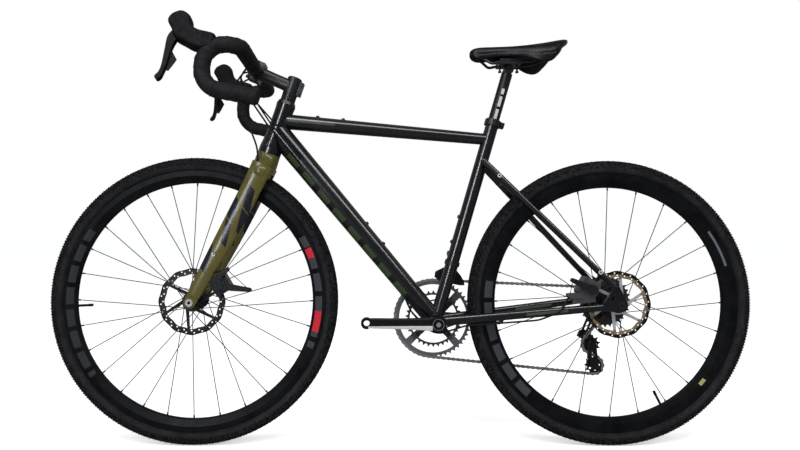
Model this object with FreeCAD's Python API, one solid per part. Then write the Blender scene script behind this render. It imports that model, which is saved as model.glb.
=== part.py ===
import FreeCAD, Part
import math
import os

# Gravel bike, millimetres. Ground at z = 0, origin midway between the axles.
# Front wheel at -x, rear wheel at +x, drive side at +y.

V = FreeCAD.Vector

# Layout
WHEELBASE = 1016.0
TYRE_R = 349.0
TYRE_HALF_W = 20.0
BEAD_R = 311.0
BB_X = 80.0
BB_Z = 300.0
HEAD_ANGLE = 71.5
FORK_OFFSET = 52.0
CROWN_HEIGHT = 397.0
HEAD_LEN = 129.0
SEAT_TOP_X = 224.0
SEAT_TOP_Z = 796.0
TOP_TUBE_AT_HEAD = 86.5
DOWN_TUBE_AT_HEAD = 60.0
FRONT_SPACING = 100.0
REAR_SPACING = 142.0

# Fits and clearances
FIT = 0.05
GAP = 0.4
PAD_GAP = 0.4

# Tubes
HEAD_R_LOW = 28.0
HEAD_R_TOP = 23.0
LOWER_BEARING_R = 26.0
UPPER_BEARING_R = 20.5
BEARING_H = 7.0
STEERER_R = 14.3
STEERER_LOW_R = 20.0
TT_R_FRONT = 19.0
TT_R_REAR = 14.0
DT_A_FRONT = 28.0
DT_B_FRONT = 24.0
DT_A_REAR = 22.5
DT_B_REAR = 24.0
TUBE_WALL = 2.0
SEAT_TUBE_R = 15.9
POST_R = 13.6
STAY_R = 8.0
SHELL_R = 21.0
SHELL_HALF = 34.0
CUP_BORE_R = 17.2
AXLE_R = 6.0
CRANK_AXLE_R = 12.0

# Wheels
FRONT_SPOKES = 28
REAR_SPOKES = 24
RIM_HALF_W = 12.5
FRONT_RIM_IN = 286.5
REAR_RIM_IN = 282.0
SPOKE_R = 1.0
NIPPLE_R = 1.9
FRONT_FLANGE_R = 22.5
REAR_FLANGE_R = 26.0
FRONT_FLANGES = (-21.0, 31.0)
REAR_FLANGES = (-34.0, 12.5)
ROTOR_R = 80.0
ROTOR_T = 1.8
FRONT_ROTOR_Y = -35.0
REAR_ROTOR_Y = -56.0
SPIGOT_R = 17.0

# Drivetrain
PITCH = 12.7
OUTER_TEETH = 48
INNER_TEETH = 34
OUTER_RING_Y = 46.5
INNER_RING_Y = 39.5
COGS = (11, 12, 13, 14, 15, 17, 19, 21, 24, 28, 32)
COG_PITCH = 3.74
CHAIN_COG = 4
PULLEY_TEETH = 11
SPROCKET_T = 1.6
SEAT_ARC_R = 3.97
ROLLER_R = 3.85
CRANK_LEN = 170.0
CRANK_TILT = 1.3
PEDAL_R = 7.14
CAGE_PIVOT = (478.0, 250.0)
GUIDE_OFFSET = (4.0, -14.0)
TENSION_OFFSET = (14.0, -66.0)

# Cockpit
STEM_AT = 176.0
STEM_LEN = 96.5
STEM_RISE = 4.5
BAR_CLAMP_R = 15.9
BAR_R = 11.9
TAPE_R = 17.0
TAPE_START = 58.0
HOUSING_R = 2.2
SHIFT_HOUSING_R = 2.0


def pt(x, z, y=0.0):
    return V(x, y, z)


def unit(v):
    return v * (1.0 / v.Length)


def cyl(p, q, r):
    return Part.makeCylinder(r, (q - p).Length, p, q - p)


def cone(p, q, r1, r2):
    return Part.makeCone(r1, r2, (q - p).Length, p, q - p)


def disc(x, z, r, y0, y1):
    return Part.makeCylinder(r, y1 - y0, V(x, y0, z), V(0, 1, 0))


def washer(x, z, ro, ri, y0, y1):
    return disc(x, z, ro, y0, y1).cut(disc(x, z, ri, y0 - 1, y1 + 1))


def fuse(shapes):
    out = shapes[0]
    if len(shapes) > 1:
        out = out.multiFuse(list(shapes[1:]))
    return out.removeSplitter()


def cut(shape, tools):
    for tool in tools:
        shape = shape.cut(tool)
    return shape


def mirrored(shape):
    return shape.mirror(V(0, 0, 0), V(0, 1, 0))


def spun(shape, x, z, degrees):
    out = shape.copy()
    out.rotate(V(x, 0, z), V(0, 1, 0), degrees)
    return out


def moved(shape, vector):
    out = shape.copy()
    out.translate(vector)
    return out


def placed(shape, origin, ex, ey, ez):
    out = shape.copy()
    m = FreeCAD.Matrix(
        ex.x, ey.x, ez.x, origin.x,
        ex.y, ey.y, ez.y, origin.y,
        ex.z, ey.z, ez.z, origin.z,
        0, 0, 0, 1)
    out.transformShape(m, True)
    return out


def prism(points, y0, y1):
    wire = Part.makePolygon([V(x, y0, z) for x, z in points + points[:1]])
    return Part.Face(wire).extrude(V(0, y1 - y0, 0))


def link_outline(c1, r1, c2, r2):
    dx = c2[0] - c1[0]
    dz = c2[1] - c1[1]
    length = math.hypot(dx, dz)
    base = math.atan2(dz, dx)
    spread = math.acos((r1 - r2) / length)
    a = base + spread
    b = base - spread
    p = [(c1[0] + r1 * math.cos(t), c1[1] + r1 * math.sin(t)) for t in (a, base + math.pi, b)]
    q = [(c2[0] + r2 * math.cos(t), c2[1] + r2 * math.sin(t)) for t in (b, base, a)]
    return p, q


def slab(c1, r1, c2, r2, y0, y1):
    p, q = link_outline(c1, r1, c2, r2)
    vp = [V(x, y0, z) for x, z in p]
    vq = [V(x, y0, z) for x, z in q]
    edges = [
        Part.Arc(vp[0], vp[1], vp[2]).toShape(),
        Part.makeLine(vp[2], vq[0]),
        Part.Arc(vq[0], vq[1], vq[2]).toShape(),
        Part.makeLine(vq[2], vp[0])]
    return Part.Face(Part.Wire(edges)).extrude(V(0, y1 - y0, 0))


def oval(c, e1, e2, a, b, power=2.0, count=16):
    points = []
    for i in range(count):
        t = 2 * math.pi * i / count
        x = math.copysign(abs(math.cos(t)) ** (2 / power), math.cos(t))
        y = math.copysign(abs(math.sin(t)) ** (2 / power), math.sin(t))
        points.append(c + e1 * (a * x) + e2 * (b * y))
    return closed(points)


def closed(points):
    curve = Part.BSplineCurve()
    curve.interpolate(points, True)
    return Part.Wire(curve.toShape())


def skin(wires):
    return Part.makeLoft(wires, True, False)


def path(points, radii):
    runs = []
    last = points[0]
    for i in range(1, len(points) - 1):
        b = points[i]
        d1 = unit(points[i - 1] - b)
        d2 = unit(points[i + 1] - b)
        half = math.acos(max(-1.0, min(1.0, d1.dot(d2)))) / 2
        t = radii[i - 1] / math.tan(half)
        centre = b + unit(d1 + d2) * (radii[i - 1] / math.sin(half))
        p = b + d1 * t
        q = b + d2 * t
        runs.append(("line", last, p))
        runs.append(("arc", p, q, centre, d1.cross(d2) * -1.0, math.degrees(math.pi - 2 * half), d1 * -1.0))
        last = q
    runs.append(("line", last, points[-1]))
    return runs


def pipe(points, radii, r):
    solids = []
    for run in path(points, radii):
        if run[0] == "line":
            solids.append(cyl(run[1], run[2], r))
        else:
            face = Part.Face(Part.Wire(Part.makeCircle(r, run[1], run[6])))
            solids.append(face.revolve(run[3], run[4], run[5]))
    return fuse(solids)


def export(name, solids):
    shape = solids[0] if len(solids) == 1 else Part.makeCompound(solids)
    shape.exportStep("parts/" + name + ".step")


def lathe(profile, base, direction):
    wire = Part.makePolygon([V(r, 0, h) for r, h in profile + profile[:1]])
    solid = Part.Face(wire).revolve(V(0, 0, 0), V(0, 0, 1), 360)
    solid.Placement = FreeCAD.Placement(base, FreeCAD.Rotation(V(0, 0, 1), direction))
    return solid


# Derived points
FRONT_X = -WHEELBASE / 2
REAR_X = WHEELBASE / 2
HEAD_RAD = math.radians(HEAD_ANGLE)
U = V(math.cos(HEAD_RAD), 0, math.sin(HEAD_RAD))
N = V(-math.sin(HEAD_RAD), 0, math.cos(HEAD_RAD))
FRONT_AXLE = pt(FRONT_X, TYRE_R)
REAR_AXLE = pt(REAR_X, TYRE_R)
BB = pt(BB_X, BB_Z)
STEER_BASE = FRONT_AXLE - N * FORK_OFFSET
HEAD_LOW = STEER_BASE + U * CROWN_HEIGHT
HEAD_TOP = HEAD_LOW + U * HEAD_LEN
SEAT_TOP = pt(SEAT_TOP_X, SEAT_TOP_Z)
SEAT_DIR = unit(SEAT_TOP - BB)
TT_FRONT = HEAD_LOW + U * TOP_TUBE_AT_HEAD
TT_REAR = BB + SEAT_DIR * 468.0
DT_FRONT = HEAD_LOW + U * DOWN_TUBE_AT_HEAD
DT_DIR = unit(BB - DT_FRONT)
DT_NORMAL = V(-DT_DIR.z, 0, DT_DIR.x)
STEM_MID = HEAD_LOW + U * STEM_AT
STEM_ANGLE = math.radians(90 - HEAD_ANGLE + STEM_RISE)
STEM_DIR = V(-math.cos(STEM_ANGLE), 0, math.sin(STEM_ANGLE))
BAR = STEM_MID + STEM_DIR * STEM_LEN
Y = V(0, 1, 0)


# Frame

def head_profile(inset):
    return [
        (HEAD_R_LOW - inset, 0), (HEAD_R_LOW - inset, 14), (26.0 - inset, 30), (HEAD_R_TOP + 1 - inset, 52),
        (HEAD_R_TOP - inset, 70), (HEAD_R_TOP - inset, 116), (HEAD_R_TOP + 1 - inset, HEAD_LEN)]


def head_envelope():
    return lathe([(0, 0)] + head_profile(0) + [(0, HEAD_LEN)], HEAD_LOW, U)


def head_tube():
    inner = [
        (UPPER_BEARING_R, HEAD_LEN), (UPPER_BEARING_R, HEAD_LEN - BEARING_H), (18.0, HEAD_LEN - BEARING_H),
        (18.0, 70), (23.0, 30), (23.0, BEARING_H), (LOWER_BEARING_R, BEARING_H), (LOWER_BEARING_R, 0)]
    return lathe(head_profile(0) + inner, HEAD_LOW, U)


def seat_envelope():
    return cyl(BB, SEAT_TOP, SEAT_TUBE_R)


def shell_envelope():
    return disc(BB_X, BB_Z, SHELL_R, -SHELL_HALF, SHELL_HALF)


def top_tube_loft(wall):
    d = unit(TT_REAR - TT_FRONT)
    e = V(-d.z, 0, d.x)
    wires = []
    for t in (0.0, 0.12, 0.5, 0.85, 1.0):
        r = TT_R_FRONT + (TT_R_REAR - TT_R_FRONT) * t - wall
        wires.append(oval(TT_FRONT + (TT_REAR - TT_FRONT) * t, e, Y, r, r))
    return skin(wires)


def top_tube():
    return cut(top_tube_loft(0), [top_tube_loft(TUBE_WALL), head_envelope(), seat_envelope()])


def down_tube_loft(wall):
    wires = []
    for t in (0.0, 0.1, 0.5, 0.9, 1.0):
        a = DT_A_FRONT + (DT_A_REAR - DT_A_FRONT) * t - wall
        b = DT_B_FRONT + (DT_B_REAR - DT_B_FRONT) * t - wall
        wires.append(oval(DT_FRONT + (BB - DT_FRONT) * t, DT_NORMAL, Y, a, b))
    return skin(wires)


def down_tube(cables):
    solid = cut(down_tube_loft(0), [
        down_tube_loft(TUBE_WALL), head_envelope(), shell_envelope(), top_tube_loft(0), seat_envelope()])
    return biggest(cut(solid, cables))


def biggest(shape):
    return max(shape.Solids, key=lambda s: s.Volume)


def seat_tube():
    bore = cyl(BB, SEAT_TOP + SEAT_DIR * 5, POST_R + FIT)
    return biggest(cut(seat_envelope(), [bore, shell_envelope()]))


def bottom_bracket_shell():
    return washer(BB_X, BB_Z, SHELL_R, CUP_BORE_R, -SHELL_HALF, SHELL_HALF)


CS_START = (BB_X + 14.0, 24.0, BB_Z + 2.0)
CS_END = (466.0, 75.0, 344.0)
SS_START = (196.0, 21.0, 692.0)
SS_END = (496.0, 75.0, 390.0)
STAY_EYELETS = (231.0, 460.0)


def chainstay():
    a = V(*CS_START)
    b = V(*CS_END)
    d = unit(b - a)
    e = unit(d.cross(Y))
    f = unit(d.cross(e))
    wires = []
    for t, high, wide in ((0, 11.5, 7), (0.12, 11, 6.6), (0.4, 10, 7), (0.8, 9.5, 7), (1, 8, 6.5)):
        wires.append(oval(a + (b - a) * t, e, f, high, wide))
    return skin(wires)


def chainstays(dropout):
    stay = biggest(cut(chainstay(), [shell_envelope(), down_tube_loft(0), dropout, seat_envelope()]))
    return [stay, mirrored(stay)]


def seatstay_raw():
    a = V(*SS_START)
    b = V(*SS_END)
    return fuse([cone(a, b, STAY_R + 0.5, STAY_R - 1), Part.makeSphere(STAY_R + 0.5, a)])


def seatstays(dropout):
    stay = biggest(cut(seatstay_raw(), [seat_envelope(), dropout]))
    a = V(*SS_START)
    b = V(*SS_END)
    p = a + (b - a) * 0.17
    bridge = cyl(V(p.x, -p.y, p.z), V(p.x, p.y, p.z), 6.0)
    out = fuse([mirrored(stay), stay, bridge])
    for x in STAY_EYELETS:
        q = a + (b - a) * ((x - a.x) / (b.x - a.x))
        for s in (-1, 1):
            face = V(q.x, s * (q.y + 10.0), q.z)
            boss = cyl(V(q.x, s * q.y, q.z), face, 5.0)
            hole = cyl(V(q.x, s * (q.y - 1), q.z), V(q.x, s * (q.y + 12), q.z), 2.1)
            out = fuse([out, boss]).cut(hole)
    return [out.cut(seat_envelope())]


DROP_IN = REAR_SPACING / 2
DROP_OUT = DROP_IN + 8.0
HANGER = (514.0, 320.0)


def dropout(side):
    y0 = DROP_IN if side > 0 else -DROP_OUT
    y1 = DROP_OUT if side > 0 else -DROP_IN
    axle = (REAR_X, TYRE_R)
    pieces = [
        slab(axle, 16.0, (CS_END[0], CS_END[2]), 9.0, y0, y1),
        slab(axle, 16.0, (SS_END[0], SS_END[2]), 8.0, y0, y1),
        slab((CS_END[0], CS_END[2]), 4.0, (SS_END[0], SS_END[2]), 4.0, y0, y1)]
    if side > 0:
        pieces.append(slab(axle, 12.0, HANGER, 9.0, y0, y1 - 1.0))
    solid = fuse(pieces).cut(disc(REAR_X, TYRE_R, AXLE_R + FIT, -120, 120))
    if side > 0:
        solid = solid.cut(disc(HANGER[0], HANGER[1], 4.5, 0, 120))
    return solid


def seat_clamp():
    low = SEAT_TOP - SEAT_DIR * 14.0
    top = SEAT_TOP + SEAT_DIR * 2.0
    back = unit(Y.cross(SEAT_DIR))
    ear = placed(Part.makeBox(12, 15, 14, V(16, -7.5, 1)), low, back, Y, SEAT_DIR)
    lip = cyl(SEAT_TOP - SEAT_DIR * 1.0, top, SEAT_TUBE_R + 3.0)
    collar = fuse([cyl(low, SEAT_TOP, SEAT_TUBE_R + 4.5), ear, lip])
    slit = placed(Part.makeBox(30, 1.6, 40, V(12, -0.8, -10)), low, back, Y, SEAT_DIR)
    bolt_at = low + back * 23.5 + SEAT_DIR * 8.0
    hole = cyl(bolt_at - Y * 20, bolt_at + Y * 20, 2.6)
    bores = [cyl(BB, SEAT_TOP, SEAT_TUBE_R), cyl(BB, top + SEAT_DIR, POST_R + FIT * 8)]
    collar = cut(collar, bores + [slit, hole])
    bolt = fuse([
        cyl(bolt_at - Y * 7.5, bolt_at + Y * 10.0, 2.5), cyl(bolt_at - Y * 12.0, bolt_at - Y * 7.5, 4.2)])
    return [collar, bolt]


def bottom_bracket_cups():
    out = []
    for s in (-1, 1):
        y = sorted((s * SHELL_HALF, s * (SHELL_HALF + 9.0)))
        inner = sorted((s * 16.0, s * SHELL_HALF))
        cup = fuse([
            disc(BB_X, BB_Z, 21.5, y[0], y[1]),
            disc(BB_X, BB_Z, CUP_BORE_R, inner[0], inner[1])])
        out.append(cup.cut(disc(BB_X, BB_Z, CRANK_AXLE_R + FIT, -80, 80)))
    return out


def headset_bearings():
    low = lathe([
        (STEERER_LOW_R + FIT, FIT), (LOWER_BEARING_R, FIT), (LOWER_BEARING_R, BEARING_H),
        (STEERER_LOW_R + FIT, BEARING_H)], HEAD_LOW, U)
    top = lathe([
        (STEERER_R + FIT, 0), (UPPER_BEARING_R, 0), (UPPER_BEARING_R, BEARING_H),
        (STEERER_R + FIT, BEARING_H)], HEAD_TOP - U * BEARING_H, U)
    return [low, top]


def boss_screw(base, direction, height):
    d = unit(direction)
    seat = cyl(base - d * 0.6, base + d * height, 5.2)
    head = cone(base + d * height, base + d * (height + 2.6), 4.4, 3.2)
    socket = cyl(base + d * (height + 1.0), base + d * (height + 4.0), 1.6)
    return fuse([seat, head]).cut(socket)


def frame_bosses(tubes):
    out = []
    d = unit(TT_REAR - TT_FRONT)
    up = V(-d.z, 0, d.x)
    for x in (-215.0, -151.6):
        t = (x - TT_FRONT.x) / (TT_REAR.x - TT_FRONT.x)
        r = TT_R_FRONT + (TT_R_REAR - TT_R_FRONT) * t
        out.append(boss_screw(TT_FRONT + (TT_REAR - TT_FRONT) * t + up * r, up, 1.0))
    length = (BB - DT_FRONT).Length
    for s in (318.0, 382.0):
        t = s / length
        a = DT_A_FRONT + (DT_A_REAR - DT_A_FRONT) * t
        out.append(boss_screw(DT_FRONT + DT_DIR * s - DT_NORMAL * -a, DT_NORMAL, 1.0))
    front = unit(SEAT_DIR.cross(Y)) * -1.0
    front = front if front.x < 0 else front * -1.0
    for s in (199.0, 263.0):
        out.append(boss_screw(BB + SEAT_DIR * s + front * SEAT_TUBE_R, front, 1.0))
    return [biggest(cut(b, tubes)) for b in out]


def thru_axle(x, half, head):
    shaft = disc(x, TYRE_R, AXLE_R, -half, half)
    cap = disc(x, TYRE_R, 9.0, -half - head, -half)
    socket = disc(x, TYRE_R, 3.0, -half - head - 1, -half - head + 4)
    return fuse([shaft, cap]).cut(socket)


# Brakes

def caliper(axle_x, rotor_y, angle, y_in, y_out, foot):
    a = math.radians(angle)
    er = V(math.cos(a), 0, math.sin(a))
    et = V(-math.sin(a), 0, math.cos(a))
    o = pt(axle_x, TYRE_R, rotor_y)
    body = Part.makeBox(42, 44, y_out + y_in, V(62, -22, -y_out))
    body = body.makeFillet(5.0, [e for e in body.Edges if abs(e.tangentAt(0).z) > 0.9])
    barrel = Part.makeCylinder(17, y_out + 2, V(78, 0, -y_out - 2), V(0, 0, 1))
    slot_w = ROTOR_T + 2 * PAD_GAP + 1.2
    slot = Part.makeBox(60, 60, slot_w, V(20, -30, -slot_w / 2))
    slot_top = Part.makeCylinder(ROTOR_R + 3.0, slot_w, V(0, 0, -slot_w / 2))
    window = Part.makeBox(19, 26, 2 * 4.6, V(61, -13, -4.6))
    shaft_hole = Part.makeCylinder(4.0 + FIT, 30, V(78, 0, -y_out - 20), V(0, 0, 1))
    solid = fuse([body, barrel]).cut(slot).cut(slot_top).cut(window).cut(shaft_hole)
    pads = []
    for s in (-1, 1):
        z0 = s * (ROTOR_T / 2 + PAD_GAP)
        z1 = s * 4.6
        pads.append(Part.makeBox(16, 25.9, abs(z1 - z0), V(63, -12.95, min(z0, z1))))
    ez = Y
    ex = er
    ey = et * -1.0
    out = [placed(s, o, ex, ey, ez) for s in [solid] + pads]
    if foot:
        rooms = [placed(s, o, ex, ey, ez) for s in (slot, slot_top, window, shaft_hole)]
        out[0] = cut(fuse([out[0], foot]), rooms)
    return out, placed(shaft_hole, o, ex, ey, ez), o + er * 78 - Y * (y_out + 2)


def brake_arm(pivot, tip):
    y1 = pivot.y - GAP
    y0 = y1 - 5.0
    arm = slab((pivot.x, pivot.z), 10.0, (tip[0], tip[1]), 5.0, y0, y1)
    hub = disc(pivot.x, pivot.z, 12.0, y0 - 2.5, y1)
    shaft = disc(pivot.x, pivot.z, 4.0, y1 - 1, y1 + 12)
    anchor = disc(tip[0], tip[1], 3.6, y0 - 4.0, y0)
    return fuse([arm, hub, shaft, anchor])


FRONT_CALIPER_ANGLE = 31.0
REAR_CALIPER_ANGLE = 152.0
FRONT_ARM_TIP = (-366.0, 380.0)
REAR_ARM_TIP = (392.0, 408.0)
FRONT_STOP = (-420.0, 428.0)
FRONT_STOP_Y = -62.0
REAR_STOP = (385.0, 372.0)
REAR_STOP_Y = -81.0
WIRE_R = 0.8


def front_caliper(room):
    stop = slab((-435.0, 415.0), 6.5, FRONT_STOP, 4.6, -66.6, -50.0)
    solids, hole, pivot = caliper(FRONT_X, FRONT_ROTOR_Y, FRONT_CALIPER_ANGLE, 9.5, 21.0, stop)
    solids[0] = biggest(cut(solids[0], [room, front_wire(pivot, 0.8)]))
    return solids, hole, pivot


def rear_caliper(room):
    foot = prism([(398, 351), (449, 357), (446, 378), (404, 378)], -76.0, -59.6)
    foot = fuse([foot, slab((410.0, 372.0), 6.0, REAR_STOP, 4.6, -85.6, -66.0)])
    solids, hole, pivot = caliper(REAR_X, REAR_ROTOR_Y, REAR_CALIPER_ANGLE, 13.0, 20.0, foot)
    a = V(*SS_START)
    b = V(*SS_END)
    stay_room = mirrored(cone(a, b, STAY_R + 2.0, STAY_R + 0.8))
    solids[0] = biggest(cut(solids[0], [mirrored(chainstay()), stay_room, room, rear_wire(pivot, 0.8)]))
    return solids, hole, pivot


# Fork and cockpit

BLADE = ((0.0, 26.5, 12.0, 36.0), (0.25, 24.5, 11.5, 40.0), (0.5, 23.0, 10.5, 46.0),
         (0.75, 19.5, 9.0, 52.0), (0.95, 15.5, 7.0, 57.0))


def blade_mid(t):
    down = 30.0 + (CROWN_HEIGHT - 30.0) * t
    return HEAD_LOW - U * down + N * (FORK_OFFSET * t ** 1.15)


def fork_blade():
    wires = []
    for t, chord, wide, y in BLADE:
        d = unit(blade_mid(min(t + 0.05, 1.0)) - blade_mid(t - 0.05 if t > 0.05 else 0.0))
        e = V(-d.z, 0, d.x)
        wires.append(oval(blade_mid(t) - Y * y, e, Y, chord, wide, 2.4))
    return skin(wires)


def crown():
    wires = []
    for s, a, b in ((0.0, 27.5, 27.5), (-10.0, 28.0, 31.0), (-30.0, 28.0, 45.0), (-62.0, 26.5, 49.0)):
        wires.append(oval(HEAD_LOW + U * s, N, Y, a, b, 2.3))
    return skin(wires)


def wheel_room(x, r, half):
    return fuse([disc(x, TYRE_R, r - 12, -half, half), washer(x, TYRE_R, r, r - 14, -half + 7, half - 7)])


FORK_EYELET = (-452.0, 464.0)
STEERER_TOP = STEM_AT + 17.5


def fork(cable):
    blade = fork_blade()
    tip = slab((FRONT_X, TYRE_R), 14.0, (blade_mid(0.93).x, blade_mid(0.93).z), 14.0, -60.0, -50.0)
    side = fuse([blade, tip])
    eyelet = cyl(V(FORK_EYELET[0], -45.0, FORK_EYELET[1]), V(FORK_EYELET[0], -61.5, FORK_EYELET[1]), 5.5)
    side = fuse([side, eyelet])
    hole = cyl(V(FORK_EYELET[0], -54.5, FORK_EYELET[1]), V(FORK_EYELET[0], -70, FORK_EYELET[1]), 2.1)
    side = side.cut(hole)
    body = cut(crown(), [wheel_room(FRONT_X, TYRE_R + 9, 27.5)])
    hub_room = disc(FRONT_X, TYRE_R, 40.0, -50.0, 50.0)
    both = fuse([body, side, mirrored(side)])
    both = cut(both, [wheel_room(FRONT_X, TYRE_R + 9, 27.5), hub_room])
    steerer = lathe([
        (0, -8), (STEERER_LOW_R, -8), (STEERER_LOW_R, 24), (STEERER_R, 50), (STEERER_R, STEERER_TOP),
        (0, STEERER_TOP)], HEAD_LOW, U)
    bore = lathe([
        (0, 60), (STEERER_R - 2.5, 60), (STEERER_R - 2.5, STEERER_TOP + 5), (0, STEERER_TOP + 5)],
        HEAD_LOW, U)
    solid = fuse([both, steerer]).cut(bore)
    mount = front_mount()
    solid = fuse([solid, mount])
    solids, hole, pivot = front_caliper(cable)
    solid = cut(solid, solids + [disc(FRONT_X, TYRE_R, AXLE_R + FIT, -90, 90), cable])
    rotor_room = disc(FRONT_X, TYRE_R, ROTOR_R + 2.0, FRONT_ROTOR_Y - 2.5, FRONT_ROTOR_Y + 2.5)
    return biggest(solid.cut(rotor_room))


def front_mount():
    a = math.radians(FRONT_CALIPER_ANGLE)
    er = V(math.cos(a), 0, math.sin(a))
    et = V(-math.sin(a), 0, math.cos(a))
    box = Part.makeBox(24, 32, 14, V(74, 18, -19))
    return placed(box, pt(FRONT_X, TYRE_R, FRONT_ROTOR_Y), er, et, Y * -1.0 if er.cross(et).y < 0 else Y)


def headset_spacers():
    s0 = HEAD_LEN + GAP
    s1 = STEM_AT - 20.5
    r = STEERER_R
    cover = lathe([(r, s0), (23.5, s0), (20.5, s0 + 8), (r, s0 + 8)], HEAD_LOW, U)
    step = (s1 - s0 - 8) / 2
    out = [cover]
    for i in range(2):
        a = s0 + 8 + step * i
        ring = [(r, a), (18.0, a), (18.2, a + 0.6), (18.2, a + step - 0.6), (18.0, a + step), (r, a + step)]
        out.append(lathe(ring, HEAD_LOW, U))
    top = STEM_AT + 20.5
    out.append(lathe([
        (0, top - 2.5), (11.5, top - 2.5), (11.5, top), (17.5, top), (17.5, top + 2.5), (14.0, top + 4.5),
        (4.0, top + 4.5), (4.0, top + 2.0), (0, top + 2.0)], HEAD_LOW, U))
    return out


STEM_UP = V(-STEM_DIR.z, 0, STEM_DIR.x) * -1.0


def stem_body():
    clamp = cyl(STEM_MID - U * 20.5, STEM_MID + U * 20.5, 18.5)
    ear = placed(Part.makeBox(14, 20, 34, V(12, -10, -17)), STEM_MID, N * -1.0, Y, U)
    wires = []
    for t, a, b in ((0.0, 15.5, 16.5), (0.3, 15.5, 16.0), (0.75, 16.0, 17.5), (0.98, 18.0, 21.0)):
        wires.append(oval(STEM_MID + STEM_DIR * (STEM_LEN * t), STEM_UP, Y, a, b, 2.5))
    neck = skin(wires)
    front = cyl(BAR - Y * 22.0, BAR + Y * 22.0, BAR_CLAMP_R + 5.0)
    lug = placed(Part.makeBox(18, 44, 50, V(-16, -22, -25)), BAR, STEM_DIR, Y, STEM_UP)
    return clamp, ear, neck, front, lug


def stem():
    clamp, ear, neck, front, lug = stem_body()
    half = placed(Part.makeBox(80, 80, 120, V(-0.4, -40, -60)), BAR, STEM_DIR, Y, STEM_UP)
    slit = placed(Part.makeBox(40, 1.6, 60, V(6, -0.8, -30)), STEM_MID, N * -1.0, Y, U)
    bores = [
        cyl(STEM_MID - U * 60, STEM_MID + U * 60, STEERER_R),
        cyl(BAR - Y * 40, BAR + Y * 40, BAR_CLAMP_R)]
    solid = cut(fuse([clamp, ear, neck, front, lug]), [half, slit] + bores)
    out = [biggest(solid)]
    for s in (-10.0, 10.0):
        m = STEM_MID + U * s - N * 21.0
        hole = cyl(m - Y * 20, m + Y * 20, 2.5)
        out[0] = out[0].cut(hole)
        out.append(fuse([cyl(m - Y * 14.5, m - Y * 10.0, 4.3), cyl(m - Y * 10.0, m + Y * 10.0, 2.5)]))
    for z in (-20.9, 20.9):
        for y in (-14.0, 14.0):
            m = BAR + STEM_UP * z + Y * y
            out[0] = out[0].cut(cyl(m - STEM_DIR * 15.0, m + STEM_DIR * 30, 2.55))
    return out


def stem_faceplate():
    clamp, ear, neck, front, lug = stem_body()
    tabs = placed(Part.makeBox(12, 44, 50, V(0.4, -22, -25)), BAR, STEM_DIR, Y, STEM_UP)
    back = placed(Part.makeBox(80, 80, 120, V(-79.6, -40, -60)), BAR, STEM_DIR, Y, STEM_UP)
    plate = fuse([front, tabs]).cut(back)
    plate = biggest(plate.cut(cyl(BAR - Y * 40, BAR + Y * 40, BAR_CLAMP_R)))
    window = placed(Part.makeBox(30, 20, 14, V(10, -10, -7)), BAR, STEM_DIR, Y, STEM_UP)
    plate = plate.cut(window)
    out = [plate]
    for z in (-20.9, 20.9):
        for y in (-14.0, 14.0):
            m = BAR + STEM_UP * z + Y * y
            shank = cyl(m - STEM_DIR * 14.0, m + STEM_DIR * 12.4, 2.5)
            head = cyl(m + STEM_DIR * 12.4, m + STEM_DIR * 16.4, 4.2)
            out[0] = cut(out[0], [cyl(m - STEM_DIR * 5.0, m + STEM_DIR * 30, 2.55), head])
            out.append(fuse([shank, head]))
    return out


BAR_CORNER = 29.0
HOOK_R = 47.0
HOOK_TOP = V(-442.0, -226.0, 917.0)
HOOK_LOW = V(-442.0, -240.0, 819.0)
BAR_END = V(-324.0, -252.0, 797.0)
BAR_Y = -222.0


def bar_points(start):
    return [V(BAR.x, start, BAR.z), V(BAR.x, BAR_Y, BAR.z), HOOK_TOP, HOOK_LOW, BAR_END]


BAR_RADII = [BAR_CORNER, HOOK_R, HOOK_R]


def bar_half(r, start):
    return pipe(bar_points(start), BAR_RADII, r)


def handlebar():
    left = fuse([
        bar_half(BAR_R, -36.0),
        cyl(BAR, BAR - Y * 30.0, BAR_CLAMP_R),
        cone(BAR - Y * 30.0, BAR - Y * 38.0, BAR_CLAMP_R, BAR_R)])
    bore = bar_half(BAR_R - 2.2, -20.0)
    centre = cyl(BAR - Y * 24.0, BAR + Y * 24.0, BAR_R - 2.2)
    return cut(fuse([left, mirrored(left)]), [bore, mirrored(bore), centre])


def bar_plug():
    p = bar_points(0)
    d = unit(p[4] - p[3])
    return cyl(p[4], p[4] + d * 3.5, TAPE_R - 1.0)


HOOD_SIDE = [
    (-419, 933), (-441, 939), (-458, 945), (-466.5, 953), (-469, 966), (-474, 977.5), (-483, 985),
    (-492, 987.5), (-502.5, 984.5), (-511, 979.5), (-517, 972), (-519.5, 964.5), (-516, 956), (-511, 947),
    (-508, 936), (-501, 923), (-485, 913), (-470, 904), (-456, 898.5), (-440, 896), (-424, 902), (-416, 918)]
HOOD_Y = -205.0
HOOD_TOP_Z = 986.0
FLARE = 14.0


def flared(shape):
    out = shape.copy()
    out.rotate(V(0, HOOD_Y, HOOD_TOP_Z), V(1, 0, 0), -FLARE)
    return out


def inset_points(points, d):
    out = []
    n = len(points)
    for i in range(n):
        x0, z0 = points[i - 1]
        x1, z1 = points[(i + 1) % n]
        tx = x1 - x0
        tz = z1 - z0
        length = math.hypot(tx, tz)
        out.append((points[i][0] - tz / length * d, points[i][1] + tx / length * d))
    return out


def hood_block():
    wires = []
    for y, d in ((-17.5, 4.5), (-14, 2), (-8, 0.4), (0, 0), (8, 0.4), (14, 2), (17.5, 4.5)):
        outline = inset_points(HOOD_SIDE, d)
        wires.append(closed([V(x, HOOD_Y + y, z) for x, z in outline]))
    return skin(wires)


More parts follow.
